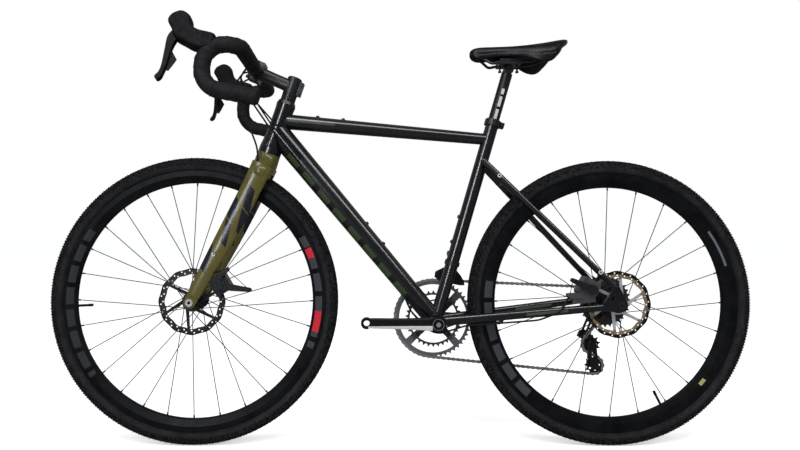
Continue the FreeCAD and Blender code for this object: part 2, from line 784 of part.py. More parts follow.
LEVER_PIVOT = (-502.0, 936.0)
LEVER_HALF = 6.5
LEVER_SWING = 22.0
LEVER_SIDE = [
    (-499, 944.5), (-507, 944), (-513, 938), (-518.5, 926), (-520.5, 910), (-523, 880), (-527, 852),
    (-532, 841.5), (-537, 834), (-533.5, 828), (-527.5, 830.5), (-522, 841), (-518, 853), (-513.5, 871),
    (-509.5, 894), (-504, 912), (-497, 926), (-494, 938)]


def lever_blank(grow, half):
    outline = inset_points(LEVER_SIDE, -grow)
    wire = closed([V(x, HOOD_Y - half, z) for x, z in outline])
    return Part.Face(wire).extrude(V(0, 2 * half, 0))


PADDLE_TOP = V(-509.2, HOOD_Y, 892.0)
PADDLE_LOW = V(-514.2, HOOD_Y, 866.0)


def paddle_axis():
    return cyl(PADDLE_TOP, PADDLE_LOW, 2.0)


def paddle_room():
    d = unit(PADDLE_LOW - PADDLE_TOP)
    return cyl(PADDLE_TOP - d * GAP, PADDLE_LOW + d * GAP, 2.0 + FIT)


def brake_lever():
    solid = lever_blank(0.0, LEVER_HALF)
    solid = solid.cut(disc(LEVER_PIVOT[0], LEVER_PIVOT[1], 2.5 + FIT, -260, 0))
    return biggest(solid.cut(paddle_room()))


def shift_paddle():
    side = [
        (-507.5, 897), (-502.5, 888), (-495.6, 876), (-504, 861), (-511.6, 849.5), (-517, 851), (-512, 879)]
    plate = prism(side, HOOD_Y - 1.0, HOOD_Y + 1.0).cut(lever_blank(GAP, LEVER_HALF + 1))
    return biggest(fuse([plate, paddle_axis()]))


def lever_sweep():
    out = []
    blank = lever_blank(0.9, LEVER_HALF + 0.9)
    for i in range(8):
        out.append(spun(blank, LEVER_PIVOT[0], LEVER_PIVOT[1], -(LEVER_SWING + 1.0) * i / 7))
    return out


def lever_hood(cables):
    solid = biggest(cut(hood_block(), lever_sweep()))
    pin = disc(LEVER_PIVOT[0], LEVER_PIVOT[1], 2.5, HOOD_Y - 11.5, HOOD_Y + 11.5)
    solid = flared(fuse([solid, pin]))
    return biggest(cut(solid, [bar_half(BAR_R, -60.0)] + cables))


def bar_tape(cables):
    outer = bar_half(TAPE_R, -TAPE_START)
    solid = cut(outer, [bar_half(BAR_R, -20.0), flared(hood_block())] + cables)
    return [s for s in solid.Solids if s.Volume > 500]


# Cables: straight runs joined by tangent arcs

def top_run(side, dx, dz, x):
    t = (x - BAR.x) / (HOOK_TOP.x - BAR.x)
    ramp_y = BAR_Y + (HOOK_TOP.y - BAR_Y) * t
    ramp_z = BAR.z + (HOOK_TOP.z - BAR.z) * t
    return [
        V(x, side * (ramp_y + abs(dx)), ramp_z + dz),
        V(BAR.x + dx, side * (BAR_Y + abs(dx)), BAR.z + dz)]


def dt_point(s, up, y):
    p = DT_FRONT + DT_DIR * s + DT_NORMAL * up
    return V(p.x, y, p.z)


def stay_point(x, below, side):
    t = (x - CS_START[0]) / (CS_END[0] - CS_START[0])
    y = CS_START[1] + (CS_END[1] - CS_START[1]) * t
    return V(x, side * y, CS_START[2] + (CS_END[2] - CS_START[2]) * t - below)


def front_brake_points():
    b = blade_mid(0.45)
    c = blade_mid(0.80)
    return top_run(1, -14.3, 0.0, -428.0) + [
        V(BAR.x - 14.3, -44.0, BAR.z), V(-414.0, -38.0, 872.0), V(-353.0, -43.0, 714.0),
        V(-357.0, -38.5, 664.0), V(b.x, -45.0, b.z), V(c.x, -53.0, c.z),
        V(FRONT_STOP[0], FRONT_STOP_Y, FRONT_STOP[1])]


FRONT_BRAKE_RADII = [14.5, 18.0, 36.0, 90.0, 90.0, 150.0, 12.0]


def entry(up, y_out, y_in):
    return [dt_point(-18.0, up, y_out), dt_point(74.0, up, y_out), dt_point(140.0, up * 0.8, y_in)]


def shift_points():
    lead = top_run(-1, -8.7, 11.6, -428.0)
    return lead + [
        V(BAR.x - 8.7, 44.0, BAR.z + 11.6), V(-416.0, 6.0, 912.0)] + entry(0.0, -31.0, -2.0) + [
        dt_point(470.0, -6.0, 8.0), dt_point(553.0, -31.0, 18.0), V(74.0, 24.0, 268.0),
        stay_point(150.0, 15.0, 1), stay_point(418.0, 12.5, 1), V(470.0, 91.0, 322.0), V(490.0, 95.0, 311.0)]


SHIFT_RADII = [20.0, 20.0, 26.0, 60.0, 90.0, 90.0, 90.0, 60.0, 45.0, 45.0, 120.0, 40.0]


def rear_brake_points():
    lead = top_run(-1, -14.3, 0.0, -428.0)
    return lead + [
        V(BAR.x - 14.3, 44.0, BAR.z), V(-408.0, 2.0, 884.0)] + entry(-8.0, -31.0, -12.0) + [
        dt_point(470.0, -6.0, -10.0), dt_point(553.0, -31.0, -18.0), V(74.0, -24.0, 268.0),
        stay_point(150.0, 15.0, -1), stay_point(320.0, 17.0, -1), V(364.0, -81.0, 334.0),
        V(REAR_STOP[0], REAR_STOP_Y, REAR_STOP[1])]


REAR_BRAKE_RADII = [14.5, 20.0, 30.0, 60.0, 90.0, 90.0, 90.0, 60.0, 45.0, 45.0, 45.0, 24.0]


def front_shift_points():
    lead = top_run(1, -8.7, 11.6, -428.0)
    return lead + [
        V(BAR.x - 8.7, -44.0, BAR.z + 11.6), V(-408.0, -30.0, 884.0)] + entry(8.0, -31.0, -6.0) + [
        dt_point(490.0, 6.0, 8.0), dt_point(560.0, 8.0, 22.0), V(95.0, 22.0, 352.0), V(115.0, 20.0, 421.0),
        V(119.0, 19.0, 437.0)]


FRONT_SHIFT_RADII = [20.0, 18.0, 30.0, 90.0, 90.0, 90.0, 60.0, 30.0, 22.0, 40.0]


def frame_housings(grow):
    r = SHIFT_HOUSING_R + grow
    return [
        pipe(shift_points(), SHIFT_RADII, r),
        pipe(rear_brake_points(), REAR_BRAKE_RADII, HOUSING_R + grow),
        pipe(front_shift_points(), FRONT_SHIFT_RADII, r)]


def front_housing(grow):
    return pipe(front_brake_points(), FRONT_BRAKE_RADII, HOUSING_R + grow)


def brake_wire(stop, stop_y, tip, tip_y, grow):
    a = V(stop[0], stop_y, stop[1])
    b = V(tip[0], tip_y, tip[1])
    d = unit(b - a)
    return cyl(a + d * (1.2 - grow), b - d * 4.2, WIRE_R + grow)


def front_wire(pivot, grow):
    return brake_wire(FRONT_STOP, FRONT_STOP_Y, FRONT_ARM_TIP, pivot.y - GAP - 7.0, grow)


def rear_wire(pivot, grow):
    return brake_wire(REAR_STOP, REAR_STOP_Y, REAR_ARM_TIP, pivot.y - GAP - 7.0, grow)


# Wheels

def rim(x, inner):
    h = RIM_HALF_W
    outline = [
        (h, 317.0), (h, 304.0), (h - 1.5, inner + 14.0), (6.0, inner + 2.0), (3.5, inner), (-3.5, inner),
        (-6.0, inner + 2.0), (-h + 1.5, inner + 14.0), (-h, 304.0), (-h, 317.0), (-h + 2.4, 317.0),
        (-h + 2.4, 311.0), (-5.0, 310.0), (-4.0, 307.5), (4.0, 307.5), (5.0, 310.0), (h - 2.4, 311.0),
        (h - 2.4, 317.0)]
    cavity = [
        (h - 3.6, 305.0), (h - 4.6, inner + 15.0), (4.6, inner + 4.0), (-4.6, inner + 4.0),
        (-h + 4.6, inner + 15.0), (-h + 3.6, 305.0)]
    solid = ring_of(outline, x)
    return solid.cut(ring_of(cavity, x))


def ring_of(outline, x):
    points = [V(x, y, TYRE_R + r) for y, r in outline]
    wire = Part.makePolygon(points + points[:1])
    return Part.Face(wire).revolve(V(x, 0, TYRE_R), Y, 360)


def tyre(x):
    h = RIM_HALF_W
    w = TYRE_HALF_W
    right = [
        (h - 2.5, 311.6), (h - 2.5, 317.6), (w - 3.5, 321.5), (w - 0.4, 327.0), (w, 331.5), (w - 1.0, 337.5),
        (w - 4.5, 343.0), (w - 10.0, 347.2), (w - 15.0, 348.8)]
    inner = [(h - 5.5, 311.6), (h - 5.5, 317.6), (w - 5.6, 323.0), (w - 3.0, 331.5), (w - 5.0, 338.0),
             (w - 11.0, 343.6)]
    outline = right + [(0, TYRE_R)] + [(-y, r) for y, r in right[::-1]]
    outline += [(-y, r) for y, r in inner] + [(0, 345.0)] + inner[::-1]
    return ring_of(outline, x)


def spoke_ends(count, flanges, flange_r, inner, x):
    out = []
    half = count // 2
    step = 360.0 / half
    for side in (0, 1):
        for k in range(half):
            hub = step * k + (step / 2 if side else 0.0)
            lead = k % 2 == 0
            cross = 2 * step
            rim_a = hub + (cross if lead else -cross)
            y = flanges[side]
            away = 1 if side else -1
            off = away * (1.5 + SPOKE_R + 1.0) if lead else -away * (1.5 + SPOKE_R + 0.1)
            a = math.radians(hub)
            b = math.radians(rim_a)
            p = V(x + flange_r * math.cos(a), y, TYRE_R + flange_r * math.sin(a))
            q = V(x + (inner + 6.0) * math.cos(b), away * 1.5, TYRE_R + (inner + 6.0) * math.sin(b))
            out.append((p, off, q))
    return out


def spoke(p, off, q):
    start = V(p.x, p.y + off, p.z)
    s = 1 if off > 0 else -1
    shank = cyl(V(p.x, p.y - s * 1.5, p.z), V(p.x, p.y + off + s * 1.1, p.z), SPOKE_R + 0.08)
    head = cyl(V(p.x, p.y - s * 2.4, p.z), V(p.x, p.y - s * 1.5, p.z), 1.7)
    d = unit(q - start)
    wire = cyl(start, q, SPOKE_R)
    nipple = cyl(q - d * 13.0, q, NIPPLE_R)
    return fuse([shank, head, wire, nipple])


def nipple_holes(ends):
    out = []
    for p, off, q in ends:
        d = unit(q - V(p.x, p.y + off, p.z))
        out.append(cyl(q - d * 16.0, q + d * 1.0, NIPPLE_R + 0.1))
    return Part.makeCompound(out)


def valve(x, inner, degrees):
    a = math.radians(degrees)
    d = V(math.cos(a), 0, math.sin(a))
    c = pt(x, TYRE_R)
    stem = cyl(c + d * (inner - 26.0), c + d * (inner + 3.0), 3.0)
    cap = cyl(c + d * (inner - 36.0), c + d * (inner - 26.0), 3.4)
    return fuse([stem, cap])


def hub(x, flanges, flange_r, body_r, spigot_y, ends, drive):
    left, right = flanges
    half = (DROP_IN if drive else FRONT_SPACING / 2) - 0.2
    inner_end = spigot_y - ROTOR_T / 2 - 3.4
    pieces = [
        disc(x, TYRE_R, body_r, left, right),
        disc(x, TYRE_R, flange_r + 2.8, left - 1.5, left + 1.5),
        disc(x, TYRE_R, flange_r + 2.8, right - 1.5, right + 1.5),
        disc(x, TYRE_R, SPIGOT_R, inner_end, left),
        disc(x, TYRE_R, 20.5, inner_end - 0.6, inner_end + 2.5),
        disc(x, TYRE_R, 9.0, -half, half)]
    if not drive:
        pieces.append(disc(x, TYRE_R, 12.0, right, right + 9.0))
    shape = fuse(pieces)
    holes = []
    for p, off, q in ends:
        holes.append(cyl(V(p.x, p.y - 2, p.z), V(p.x, p.y + 2, p.z), SPOKE_R + 0.1))
    shape = shape.cut(Part.makeCompound(holes))
    return shape.cut(disc(x, TYRE_R, AXLE_R + FIT, -100, 100))


def rotor_edge(x, z, r, wave, count, y):
    points = []
    for i in range(count * 4):
        t = 2 * math.pi * i / (count * 4)
        rr = r + wave * math.cos(count * t)
        points.append(V(x + rr * math.cos(t), y, z + rr * math.sin(t)))
    return closed(points)


def rotor(x, y, arms):
    y0 = y - ROTOR_T / 2
    outer = Part.Face(rotor_edge(x, TYRE_R, ROTOR_R - 1.0, 1.0, 12, y0))
    inner = Part.Face(rotor_edge(x, TYRE_R, 64.5, 1.2, 12, y0))
    track = outer.cut(inner).extrude(V(0, ROTOR_T, 0))
    holes = []
    for k in range(24):
        for r, off in ((69.0, 0.0), (74.5, 5.0)):
            a = math.radians(15.0 * k + off)
            holes.append(disc(x + r * math.cos(a), TYRE_R + r * math.sin(a), 1.9, y0 - 1, y0 + ROTOR_T + 1))
    track = track.cut(Part.makeCompound(holes))
    pieces = [track, washer(x, TYRE_R, 24.0, SPIGOT_R, y0, y0 + ROTOR_T)]
    for k in range(arms):
        a = 360.0 * k / arms
        b = math.radians(a)
        c = math.radians(a + 24.0)
        p = (x + 21.5 * math.cos(b), TYRE_R + 21.5 * math.sin(b))
        q = (x + 66.0 * math.cos(c), TYRE_R + 66.0 * math.sin(c))
        pieces.append(slab(p, 4.0, q, 3.2, y0, y0 + ROTOR_T))
    solid = fuse(pieces)
    return solid.cut(disc(x, TYRE_R, SPIGOT_R, y0 - 2, y0 + 4))


# Chain and sprockets

def pitch_r(teeth):
    return PITCH / (2 * math.sin(math.pi / teeth))


def sprocket(x, z, teeth, y, phase, bore):
    r = pitch_r(teeth)
    edges = []
    beta = math.radians(66.0)
    tip = r + 2.5
    y0 = y - SPROCKET_T / 2
    rows = []
    for k in range(teeth):
        a = phase + 2 * math.pi * k / teeth
        er = V(math.cos(a), 0, math.sin(a))
        et = V(-math.sin(a), 0, math.cos(a))
        c = V(x, y0, z) + er * r
        p = []
        for b in (-beta, 0, beta):
            p.append(c + er * (-SEAT_ARC_R * math.cos(b)) + et * (SEAT_ARC_R * math.sin(b)))
        half = math.pi / teeth - 0.6 / tip
        t0 = V(x + tip * math.cos(a - half), y0, z + tip * math.sin(a - half))
        t1 = V(x + tip * math.cos(a + half), y0, z + tip * math.sin(a + half))
        rows.append((t0, p, t1))
    for k in range(teeth):
        t0, p, t1 = rows[k]
        edges.append(Part.makeLine(t0, p[0]))
        edges.append(Part.Arc(p[0], p[1], p[2]).toShape())
        edges.append(Part.makeLine(p[2], t1))
        edges.append(Part.makeLine(t1, rows[(k + 1) % teeth][0]))
    wires = [Part.Wire(edges)]
    face = Part.Face(wires[0])
    solid = face.extrude(V(0, SPROCKET_T, 0))
    return solid.cut(disc(x, z, bore, y0 - 1, y0 + SPROCKET_T + 1))


def tangent(c1, r1, s1, c2, r2, s2):
    dx = c2[0] - c1[0]
    dz = c2[1] - c1[1]
    d = math.hypot(dx, dz)
    a = math.atan2(dz, dx)
    k = s1 * r1 - s2 * r2
    n = a + math.acos(k / d)
    nx = math.cos(n)
    nz = math.sin(n)
    return (c1[0] + s1 * r1 * nx, c1[1] + s1 * r1 * nz), (c2[0] + s2 * r2 * nx, c2[1] + s2 * r2 * nz)


def turned(offset, angle):
    c = math.cos(angle)
    s = math.sin(angle)
    return (
        CAGE_PIVOT[0] + offset[0] * c - offset[1] * s,
        CAGE_PIVOT[1] + offset[0] * s + offset[1] * c)


def chain_wheels(angle):
    return [
        ((BB_X, BB_Z), pitch_r(OUTER_TEETH), 1),
        ((REAR_X, TYRE_R), pitch_r(COGS[CHAIN_COG]), 1),
        (turned(GUIDE_OFFSET, angle), pitch_r(PULLEY_TEETH), -1),
        (turned(TENSION_OFFSET, angle), pitch_r(PULLEY_TEETH), 1)]


def chain_runs(angle):
    wheels = chain_wheels(angle)
    lines = []
    for i in range(4):
        c1, r1, s1 = wheels[i]
        c2, r2, s2 = wheels[(i + 1) % 4]
        lines.append(tangent(c1, r1, s1, c2, r2, s2))
    runs = []
    for i in range(4):
        p, q = lines[i]
        runs.append(("line", p, q, math.hypot(q[0] - p[0], q[1] - p[1])))
        c, r, s = wheels[(i + 1) % 4]
        nxt = lines[(i + 1) % 4][0]
        a0 = math.atan2(q[1] - c[1], q[0] - c[0])
        a1 = math.atan2(nxt[1] - c[1], nxt[0] - c[0])
        sweep = (a0 - a1) * s
        while sweep < 0:
            sweep += 2 * math.pi
        runs.append(("arc", c, r, a0, -s, r * sweep))
    return runs


def run_point(runs, total, s):
    s = s % total
    for run in runs:
        length = run[3] if run[0] == "line" else run[5]
        if s <= length:
            break
        s -= length
    if run[0] == "line":
        t = s / length
        return (run[1][0] + (run[2][0] - run[1][0]) * t, run[1][1] + (run[2][1] - run[1][1]) * t)
    a = run[3] + run[4] * s / run[2]
    return (run[1][0] + run[2] * math.cos(a), run[1][1] + run[2] * math.sin(a))


def walk(angle, links):
    runs = chain_runs(angle)
    total = sum(run[3] if run[0] == "line" else run[5] for run in runs)
    s = 20.0
    first = s
    pins = [run_point(runs, total, s)]
    for i in range(links):
        p = pins[-1]
        low = s + PITCH * 0.98
        high = s + PITCH * 1.08
        for j in range(50):
            mid = (low + high) / 2
            q = run_point(runs, total, mid)
            if math.hypot(q[0] - p[0], q[1] - p[1]) < PITCH:
                low = mid
            else:
                high = mid
        s = low
        pins.append(run_point(runs, total, s))
    return pins, s - first - total


def solve_chain():
    total = sum(r[3] if r[0] == "line" else r[5] for r in chain_runs(0.0))
    links = 2 * int(round(total / PITCH / 2))
    low = -0.6
    high = 0.6
    f_low = walk(low, links)[1]
    for i in range(40):
        mid = (low + high) / 2
        f = walk(mid, links)[1]
        if (f > 0) == (f_low > 0):
            low = mid
        else:
            high = mid
    return mid, walk(mid, links)[0][:-1], walk(mid, links)[1]


def phase_for(pins, centre, r):
    for x, z in pins:
        if abs(math.hypot(x - centre[0], z - centre[1]) - r) < 1e-4:
            return math.atan2(z - centre[1], x - centre[0])
    return 0.0


def bone(half_w, y0, y1):
    return slab((0.0, 0.0), half_w, (PITCH, 0.0), half_w, y0, y1)


PIN_R = 1.75
LINK_FIT = 0.35


def outer_link():
    plates = [bone(4.0, s0, s1) for s0, s1 in ((-2.6, -1.95), (1.95, 2.6))]
    pins = [disc(c, 0.0, PIN_R, -2.65, 2.65) for c in (0.0, PITCH)]
    return fuse(plates + pins)


def inner_link():
    plates = [bone(4.1, s0, s1) for s0, s1 in ((-1.8, -1.15), (1.15, 1.8))]
    rollers = [disc(c, 0.0, ROLLER_R, -1.15, 1.15) for c in (0.0, PITCH)]
    solid = fuse(plates + rollers)
    return cut(solid, [disc(c, 0.0, PIN_R + LINK_FIT, -3, 3) for c in (0.0, PITCH)])


def chain(pins):
    kinds = (outer_link(), inner_link())
    out = []
    count = len(pins)
    for i in range(count):
        p = pins[i]
        q = pins[(i + 1) % count]
        a = math.atan2(q[1] - p[1], q[0] - p[0])
        link = kinds[i % 2].copy()
        turn = FreeCAD.Rotation(V(0, 1, 0), -math.degrees(a))
        link.Placement = FreeCAD.Placement(V(p[0], OUTER_RING_Y, p[1]), turn)
        out.append(link)
    return out


def chainring(teeth, y, phase, tilt, rim_in, bolt_r):
    plain = sprocket(BB_X, BB_Z, teeth, y, phase, rim_in)
    pieces = [plain]
    for k in range(4):
        a = math.radians(45.0 + 90.0 * k + tilt)
        p = (BB_X + bolt_r * math.cos(a), BB_Z + bolt_r * math.sin(a))
        q = (BB_X + (rim_in + 2.0) * math.cos(a), BB_Z + (rim_in + 2.0) * math.sin(a))
        pieces.append(slab(p, 8.0, q, 10.0 if rim_in > 70 else 8.5, y - SPROCKET_T / 2, y + SPROCKET_T / 2))
    solid = fuse(pieces)
    ring_only = disc(BB_X, BB_Z, pitch_r(teeth) - 4.0, y - 3, y + 3)
    teeth_only = plain.cut(ring_only)
    solid = fuse([solid.common(ring_only), teeth_only])
    return solid.cut(ring_bolts(5.0))


BOLT_CIRCLE = 55.0


def ring_bolts(r):
    out = []
    for k in range(4):
        a = math.radians(45.0 + 90.0 * k - CRANK_TILT)
        x = BB_X + BOLT_CIRCLE * math.cos(a)
        z = BB_Z + BOLT_CIRCLE * math.sin(a)
        out.append(disc(x, z, r, INNER_RING_Y - 1.6, OUTER_RING_Y + 1.6))
    return Part.makeCompound(out)


def crank_end(direction):
    a = math.radians(CRANK_TILT)
    return (BB_X + direction * CRANK_LEN * math.cos(a), BB_Z - direction * CRANK_LEN * math.sin(a))


def crank_arm(direction, s):
    end = crank_end(direction)
    e = V(end[0] - BB_X, 0, end[1] - BB_Z)
    d = unit(e)
    up = V(-d.z, 0, d.x)
    wires = []
    for t, high, thick, y in ((-0.02, 17, 7.0, 56), (0.12, 16, 7.0, 56.5), (0.4, 13.5, 6.8, 59.5),
                              (0.75, 12.5, 6.5, 64.0), (0.95, 12.0, 6.5, 66.4)):
        wires.append(oval(BB + e * t + Y * (s * y), up, Y, high, thick, 3.0))
    y0, y1 = sorted((s * 60.0, s * 73.0))
    b0, b1 = sorted((s * 46.0, s * 63.5))
    boss = disc(end[0], end[1], 13.5, y0, y1)
    root = disc(BB_X, BB_Z, 18.5, b0, b1)
    return fuse([skin(wires), boss, root]).cut(disc(end[0], end[1], PEDAL_R, -100, 100))


def crank_right():
    arm = crank_arm(1, 1)
    axle = disc(BB_X, BB_Z, CRANK_AXLE_R, -62.0, 50.0)
    y0 = INNER_RING_Y + SPROCKET_T / 2
    y1 = OUTER_RING_Y - SPROCKET_T / 2
    pieces = [arm, axle, disc(BB_X, BB_Z, 20.0, SHELL_HALF + 9.4, 50.0)]
    for k in range(4):
        a = math.radians(45.0 + 90.0 * k - CRANK_TILT)
        p = (BB_X + 14.0 * math.cos(a), BB_Z + 14.0 * math.sin(a))
        q = (BB_X + BOLT_CIRCLE * math.cos(a), BB_Z + BOLT_CIRCLE * math.sin(a))
        pieces.append(slab(p, 10.0, q, 8.0, SHELL_HALF + 9.4, y1))
        pieces.append(disc(q[0], q[1], 8.0, y0, y1))
    solid = fuse(pieces)
    bore = disc(BB_X, BB_Z, CRANK_AXLE_R - 2.5, -70, 48)
    solid = cut(solid, [bore, ring_bolts(5.0)])
    return [solid] + list(ring_bolts(5.0).Solids)


def crank_left():
    arm = crank_arm(-1, -1)
    cap = disc(BB_X, BB_Z, 10.5, -66.0, -62.0)
    arm = arm.cut(disc(BB_X, BB_Z, CRANK_AXLE_R, -62.0, 0))
    return [fuse([arm, cap])]


def cassette(pins):
    first_y = OUTER_RING_Y + COG_PITCH * CHAIN_COG
    base = phase_for(pins, (REAR_X, TYRE_R), pitch_r(COGS[CHAIN_COG]))
    pieces = []
    for i, teeth in enumerate(COGS):
        y = first_y - COG_PITCH * i
        cog = sprocket(REAR_X, TYRE_R, teeth, y, base, 17.0)
        r = pitch_r(teeth)
        if teeth >= 21:
            holes = []
            for k in range(6):
                a = math.radians(60.0 * k)
                m = (19.0 + r - 9.0) / 2
                x = REAR_X + m * math.cos(a)
                z = TYRE_R + m * math.sin(a)
                holes.append(disc(x, z, (r - 29.0) / 2.6, y - 3, y + 3))
            cog = cog.cut(Part.makeCompound(holes))
        pieces.append(cog)
        if i:
            y0 = y + SPROCKET_T / 2
            pieces.append(washer(REAR_X, TYRE_R, 18.2, 17.0, y0, y0 + COG_PITCH - SPROCKET_T))
    low = first_y - COG_PITCH * (len(COGS) - 1)
    pieces.append(washer(REAR_X, TYRE_R, 17.0, 9.0 + GAP, low - 3.0, first_y + 2.6))
    lock = washer(REAR_X, TYRE_R, 18.0, 17.0, first_y + SPROCKET_T / 2, first_y + 2.6)
    return pieces + [lock]


# Rear derailleur

LINK_TOP = V(497.0, 92.0, 296.0)
LINK_LOW = V(473.0, 74.0, 258.0)
LINK_L = unit(LINK_LOW - LINK_TOP)
LINK_E = unit(V(LINK_LOW.z - LINK_TOP.z, 0, -(LINK_LOW.x - LINK_TOP.x)) * -1.0)
LINK_N = LINK_E.cross(LINK_L)
LINK_SPAN = (LINK_LOW - LINK_TOP).Length
LINK_HALF = 8.0
PIVOT_R = 2.0


def local(shape, origin):
    return placed(shape, origin, LINK_L, LINK_N, LINK_E)


def rd_pin(origin, half):
    return local(Part.makeCylinder(PIVOT_R, 2 * half, V(0, 0, -half)), origin)


def rd_links():
    ends = [Part.makeCylinder(4.0, 2 * LINK_HALF, V(c, 0, -LINK_HALF)) for c in (0.0, LINK_SPAN)]
    bar = Part.makeBox(LINK_SPAN, 5.0, 2 * LINK_HALF, V(0, -2.5, -LINK_HALF))
    waist = Part.makeBox(LINK_SPAN - 22.0, 9.0, 7.0, V(11.0, -4.5, -3.5))
    solid = fuse(ends + [bar]).cut(waist)
    bores = [Part.makeCylinder(PIVOT_R + FIT, 60, V(c, 0, -30)) for c in (0.0, LINK_SPAN)]
    return [local(cut(solid, bores), LINK_TOP)]


def rd_lugs(sign):
    pieces = []
    for z in (LINK_HALF + GAP, -LINK_HALF - GAP - 4.0):
        pieces.append(Part.makeCylinder(5.0, 4.0, V(0, 0, z)))
        pieces.append(Part.makeBox(11.0, 10.0, 4.0, V(0 if sign > 0 else -11.0, -5.0, z)))
    x = 5.4 if sign > 0 else -13.0
    pieces.append(Part.makeBox(7.6, 10.0, 2 * (LINK_HALF + GAP + 4.0), V(x, -5.0, -LINK_HALF - GAP - 4.0)))
    pieces.append(Part.makeCylinder(PIVOT_R, 2 * (LINK_HALF + 4.0), V(0, 0, -LINK_HALF - 4.0)))
    return fuse(pieces)


def rd_mount_knuckle(rooms):
    boss = disc(HANGER[0], HANGER[1], 10.5, DROP_OUT - 1.0, DROP_OUT + 19.0)
    bolt = disc(HANGER[0], HANGER[1], 4.4, DROP_IN - 0.5, DROP_OUT)
    far = LINK_TOP - LINK_L * 12.5
    web = slab(HANGER, 10.0, (far.x, far.z), 6.5, far.y - 5.0, far.y + 3.5)
    solid = fuse([boss, bolt, web, local(rd_lugs(-1), LINK_TOP)])
    socket = disc(HANGER[0], HANGER[1], 2.9, DROP_OUT + 12.0, DROP_OUT + 24)
    return [biggest(cut(solid, [socket] + rooms))]


CAGE_OUT = (OUTER_RING_Y + 5.5, OUTER_RING_Y + 7.0)
CAGE_IN = (OUTER_RING_Y - 7.0, OUTER_RING_Y - 5.5)


def rd_cage_knuckle():
    x, z = CAGE_PIVOT
    boss = disc(x, z, 12.5, CAGE_OUT[1] + 1.2, CAGE_OUT[1] + 14.6)
    web = slab((x, z), 9.0, (LINK_LOW.x + LINK_L.x * 9.5, LINK_LOW.z + LINK_L.z * 9.5), 5.0, 60.0, 68.0)
    solid = fuse([boss, web, local(rd_lugs(1), LINK_LOW)])
    bore = disc(x, z, 5.0 + FIT, CAGE_OUT[1] - 2, CAGE_OUT[1] + 13.0)
    plate = disc(x, z, 60, CAGE_OUT[0] - 30, CAGE_OUT[1] + 1.2)
    return [biggest(cut(solid, [bore, plate]))]


def rd_cage(angle):
    g = turned(GUIDE_OFFSET, angle)
    t = turned(TENSION_OFFSET, angle)
    tail = (t[0] + 12.0, t[1] - 12.0)
    pieces = []
    for y0, y1 in (CAGE_OUT, CAGE_IN):
        plate = fuse([slab(g, 12.0, t, 10.0, y0, y1), slab(t, 10.0, tail, 4.0, y0, y1)])
        m = (g[0] + (t[0] - g[0]) * 0.42, g[1] + (t[1] - g[1]) * 0.42)
        n = (g[0] + (t[0] - g[0]) * 0.62, g[1] + (t[1] - g[1]) * 0.62)
        pieces.append(plate.cut(slab(m, 4.0, n, 3.5, y0 - 1, y1 + 1)))
    x, z = CAGE_PIVOT
    pieces.append(slab((x, z), 11.0, g, 11.0, CAGE_OUT[0], CAGE_OUT[1]))
    pieces.append(disc(x, z, 8.0, CAGE_OUT[0], CAGE_OUT[1] + 0.8))
    pieces.append(disc(x, z, 5.0, CAGE_OUT[0], CAGE_OUT[1] + 12.0))
    for c in (g, t):
        pieces.append(disc(c[0], c[1], 2.5, CAGE_IN[0] - 1.0, CAGE_OUT[1] + 0.4))
    return [fuse(pieces)]


def pulley(centre, pins):
    phase = phase_for(pins, centre, pitch_r(PULLEY_TEETH))
    wheel = sprocket(centre[0], centre[1], PULLEY_TEETH, OUTER_RING_Y, phase, 6.0)
    core = disc(centre[0], centre[1], 7.0, CAGE_IN[1] + 0.3, CAGE_OUT[0] - 0.3)
    holes = []
    for k in range(5):
        a = math.radians(72.0 * k)
        c = (centre[0] + 12.4 * math.cos(a), centre[1] + 12.4 * math.sin(a))
        holes.append(disc(c[0], c[1], 3.0, OUTER_RING_Y - 3, OUTER_RING_Y + 3))
    solid = fuse([wheel, core]).cut(Part.makeCompound(holes))
    return [solid.cut(disc(centre[0], centre[1], 2.5 + FIT, 0, 90))]


# Front derailleur

FD_AT = 148.0
FD_X = 126.0
FD_TOP = V(FD_X, 30.0, 464.0)
FD_LOW = V(FD_X, 36.0, 438.0)


def fd_mount(rooms):
    mid = BB + SEAT_DIR * FD_AT
    band = cyl(mid - SEAT_DIR * 6.0, mid + SEAT_DIR * 6.0, SEAT_TUBE_R + 2.6)
    block = Part.makeBox(16, 11, 16, V(mid.x - 7, 12, mid.z - 6))
    pin = cyl(V(FD_X - 13, FD_TOP.y, FD_TOP.z), V(FD_X + 13, FD_TOP.y, FD_TOP.z), 2.0)
    lugs = []
    for dx in (-13.0, 9.0):
        lugs.append(Part.makeBox(4.0, 12.0, 9.0, V(FD_X + dx, 22.0, FD_TOP.z - 4.5)))
    beam = Part.makeBox(26.0, 4.2, 28.0, V(FD_X - 13.0, 21.0, 444.0))
    solid = fuse([band, block, beam, pin] + lugs)
    return [biggest(cut(solid, [seat_envelope()] + rooms))]


def fd_link():
    d = unit(FD_LOW - FD_TOP)
    x0 = FD_X - 8.6
    x1 = FD_X + 8.6
    ends = [cyl(V(x0, p.y, p.z), V(x1, p.y, p.z), 3.6) for p in (FD_TOP, FD_LOW)]
    n = d.cross(V(1, 0, 0))
    length = (FD_LOW - FD_TOP).Length
    bar = Part.makeBox(x1 - x0, length, 4.4, V(0, 0, -2.2))
    bar = placed(bar, V(x0, FD_TOP.y, FD_TOP.z), V(1, 0, 0), d, n)
    solid = fuse(ends + [bar])
    bores = [cyl(V(90, p.y, p.z), V(150, p.y, p.z), 2.0 + FIT) for p in (FD_TOP, FD_LOW)]
    return [cut(solid, bores)]


